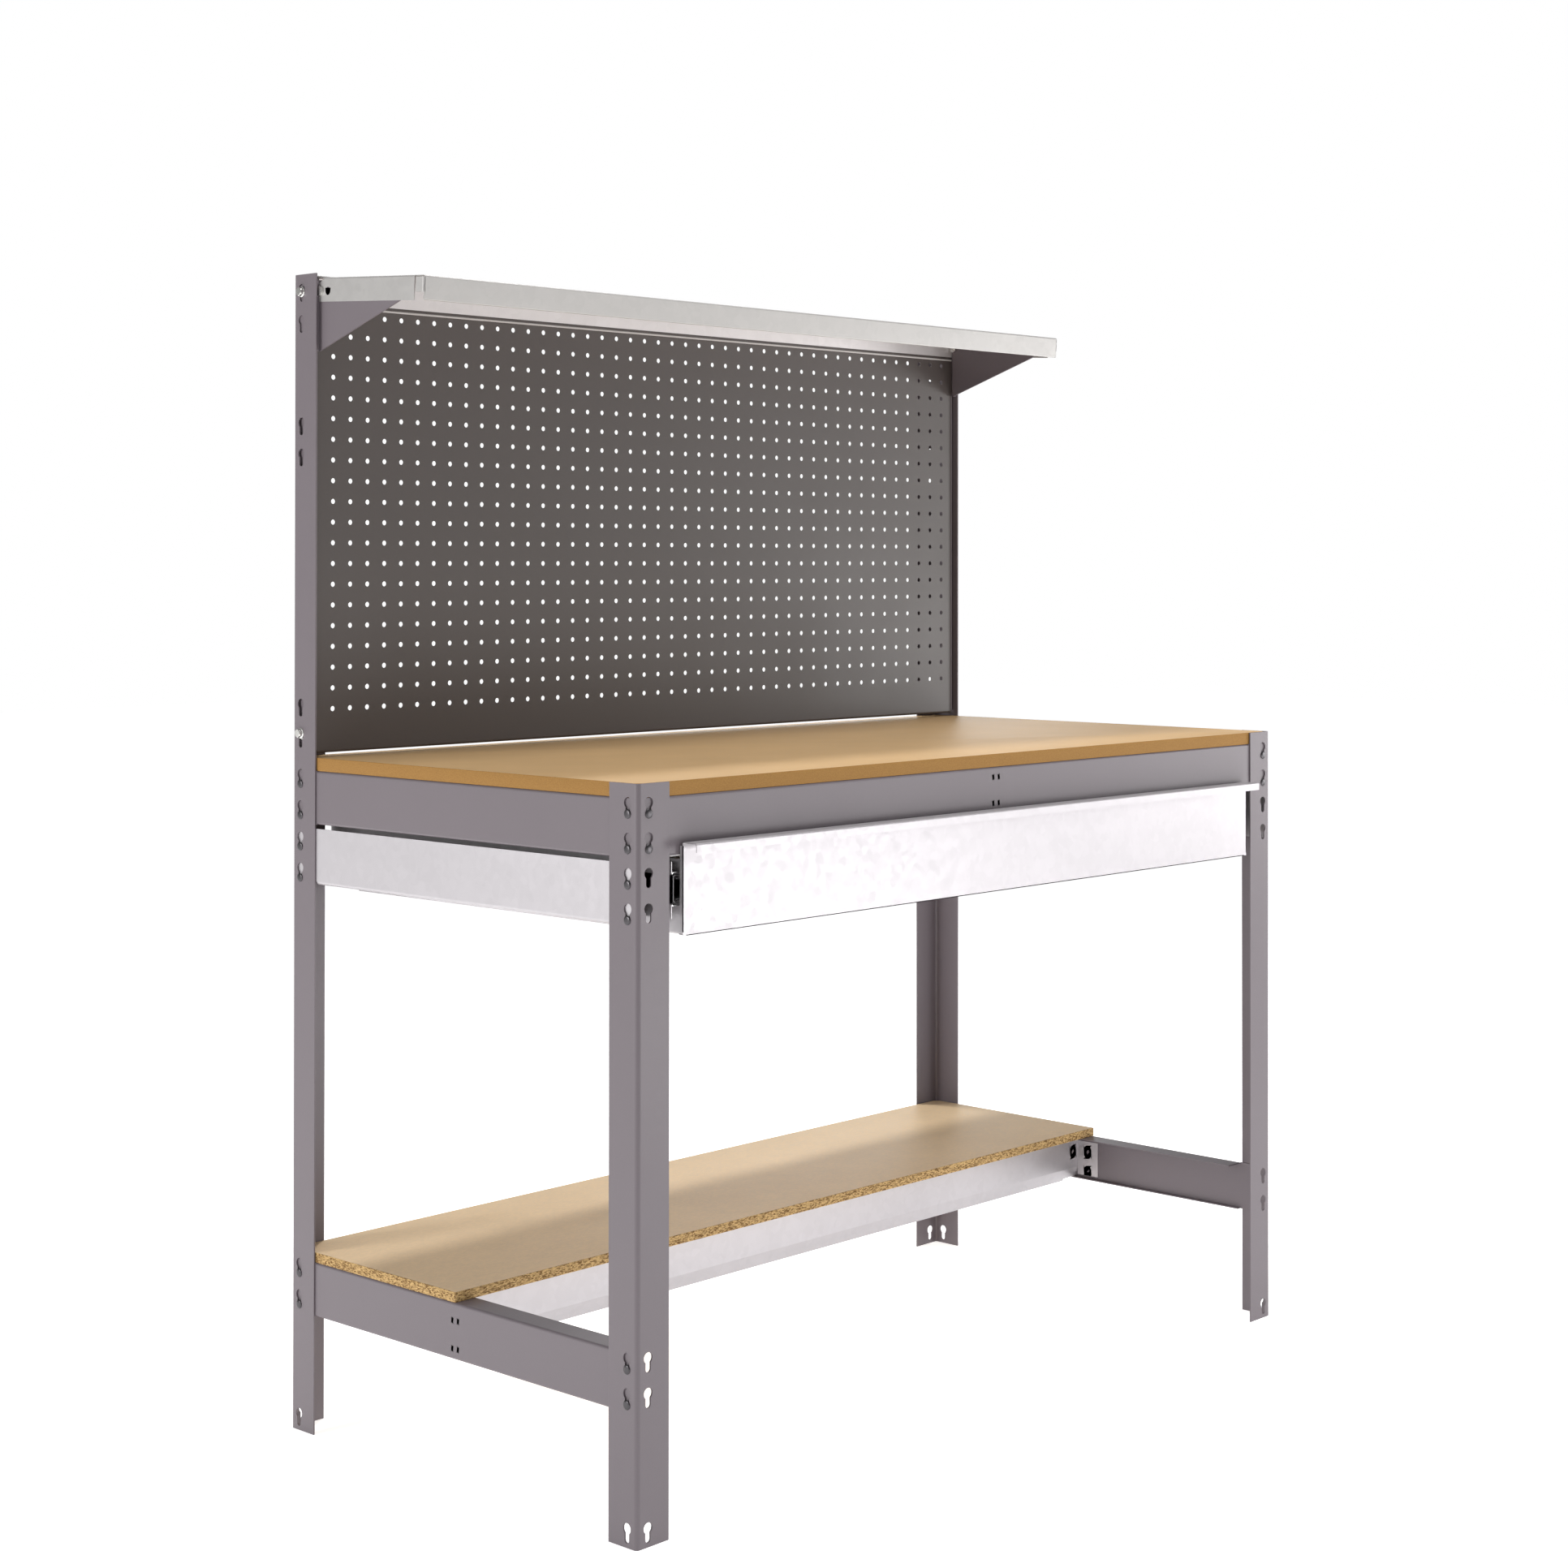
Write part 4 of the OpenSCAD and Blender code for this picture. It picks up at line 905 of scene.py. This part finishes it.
# Panel bolts and nuts: turned outlines, cut to a hexagon between the two stations where a key
# goes. The bolt's outline runs from its tip inside the post to the top of its head outside.
def makeFixings():
    fixing = {"flange": 6.5 * mm, "flangeRise": 1.2 * mm, "flangeEdge": 0.5 * mm, "hex": 5 * mm,
              "head": 5.2 * mm, "keyFoot": 1.3 * mm, "crown": 0.9 * mm, "crownFace": 0.92,
              "bolt": 3 * mm, "tip": 0.8, "nut": 5 * mm, "nutFace": 0.95, "chamfer": 0.6 * mm,
              "grip": 5 * mm, "threadOver": 1 * mm, "play": 1.02, "around": 36, "sharp": 40}
    hexagon, head, nut, bolt = fixing["hex"], fixing["head"], fixing["nut"], fixing["bolt"]
    corner, play, chamfer = hexagon / math.cos(math.pi / 6), fixing["play"], fixing["chamfer"]
    far = fixing["grip"] + nut + fixing["threadOver"]
    lowest, highest = (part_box("panel_bolts")[k].z for k in (0, 1))
    heights = lowest + fixing["flange"], highest - fixing["flange"]
    boltLine = [(0, -far), (bolt * fixing["tip"], -far), (bolt, -far + chamfer), (bolt, 0),
                (fixing["flange"], 0), (fixing["flange"], fixing["flangeEdge"]),
                (corner * play, fixing["flangeRise"]), (corner, fixing["keyFoot"]),
                (corner, head - fixing["crown"]), (hexagon * fixing["crownFace"], head), (0, head)]
    face = hexagon * fixing["nutFace"]
    nutLine = [(0, 0), (bolt * play, 0), (face, 0), (corner, chamfer), (corner, nut - chamfer),
               (face, nut), (bolt * play, nut), (0, nut)]
    for node, kind, line, keyed, way, depth in (
            ("panel_bolts", "heads", boltLine, (7, 8), 1, 0),
            ("panel_nuts", "hexagons", nutLine, (3, 4), -1, fixing["grip"])):
        places = [((side * (halfWidth - depth), rearY - sheet["inset"], z), (way * side, 0, 0))
                  for side in (-1, 1) for z in heights]
        flats = np.where(np.isin(np.arange(len(line)), keyed), hexagon, 1)
        makePiece(node, kind, [turned(line, places, flats, fixing["around"])], ["zinc"],
                  sharp=fixing["sharp"])


makeFixings()
print("stiffeners and fixings made")

# The smaller CAD pieces keep their own shape and take the same finishes.
for name, finish in (("shelf_bracket_left", "paint"), ("shelf_bracket_right", "paint"),
                     ("panel_spacers", "zinc"), ("shelf_bolts", "zinc"), ("shelf_nuts", "zinc"),
                     ("carrier_screws", "zinc"), ("drawer_screws", "zinc"),
                     ("outer_cage_left", "slide"), ("outer_cage_right", "slide"),
                     ("inner_cage_left", "slide"), ("inner_cage_right", "slide")):
    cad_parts[name].data.materials[0] = finishes[finish]


# Camera from the bench's left front, level and straight, with its picture shifted onto the bench.
def makeCamera():
    view = {"place": (-2.5063, -2.4543, 1.0577), "azimuth": 49.33, "tilt": 0.52, "lens": 61.13,
            "shift": (-0.1346, -0.1568)}
    camera = bpy.data.cameras.new("viewCamera")
    camera.lens = view["lens"]
    camera.sensor_width = 36
    camera.shift_x, camera.shift_y = view["shift"]
    camera.dof.use_dof = False
    holder = bpy.data.objects.new("viewCamera", camera)
    scene.collection.objects.link(holder)
    holder.location = view["place"]
    holder.rotation_euler = (math.radians(90 + view["tilt"]), 0, -math.radians(view["azimuth"]))
    scene.camera = holder


# A pale floor that fades into the backdrop, and broad soft lights round the bench. Each light is
# turned by the slope and the bearing of the line from it to the aim.
def makeStudio():
    studio = {"floor": 30.0, "white": (0.9, 0.9, 0.9), "glow": 0.71, "fill": 0.34, "aim": 0.7,
              "lights": (("left", (-3.2, 1.0, 1.2), 1.2, 36.0),
                         ("right", (2.5, -1.3, 0.95), 1.0, 18.0),
                         ("lowFront", (1.5, -2.5, 0.3), 0.7, 13.0),
                         ("above", (0.0, -0.6, 3.2), 1.4, 42.0),
                         ("aboveRear", (0.3, 0.95, 3.2), 0.3, 40.0),
                         ("backRight", (3.2, 3.0, 1.6), 1.6, 15.0))}
    half = studio["floor"] / 2
    floorMesh = bpy.data.meshes.new("studioFloor")
    floorMesh.from_pydata([(-half, -half, 0), (half, -half, 0), (half, half, 0), (-half, half, 0)],
                          [], [(0, 1, 2, 3)])
    floor = bpy.data.objects.new("studioFloor", floorMesh)
    scene.collection.objects.link(floor)
    paper = Shade("studioPaper", Roughness=0.9, Specular_IOR_Level=0.1,
                  Base_Color=(*studio["white"], 1), Emission_Color=(1, 1, 1, 1),
                  Emission_Strength=studio["glow"])
    floorMesh.materials.append(paper.material)
    # the backdrop shows plain white, while the room itself gives a weaker even fill
    world = bpy.data.worlds.new("studioWorld")
    world.use_nodes = True
    room = Nodes(world.node_tree)
    seen = room.node("ShaderNodeLightPath", output="Is Camera Ray")
    level = studio["fill"] + seen * (1.0 - studio["fill"])
    background = world.node_tree.nodes["Background"]
    background.inputs["Color"].default_value = (1, 1, 1, 1)
    world.node_tree.links.new(level.socket, background.inputs["Strength"])
    scene.world = world
    for name, place, size, power in studio["lights"]:
        light = bpy.data.lights.new(name, "AREA")
        light.shape, light.size, light.energy = "DISK", size, power
        lamp = bpy.data.objects.new(name, light)
        scene.collection.objects.link(lamp)
        lamp.location = place
        aim = np.array([0, 0, studio["aim"]]) - place
        lamp.rotation_euler = (math.atan2(math.hypot(aim[0], aim[1]), -aim[2]), 0,
                               math.atan2(aim[1], aim[0]) - math.pi / 2)


makeCamera()
makeStudio()
scene.view_settings.view_transform = "Standard"
print("camera, floor and lights set")
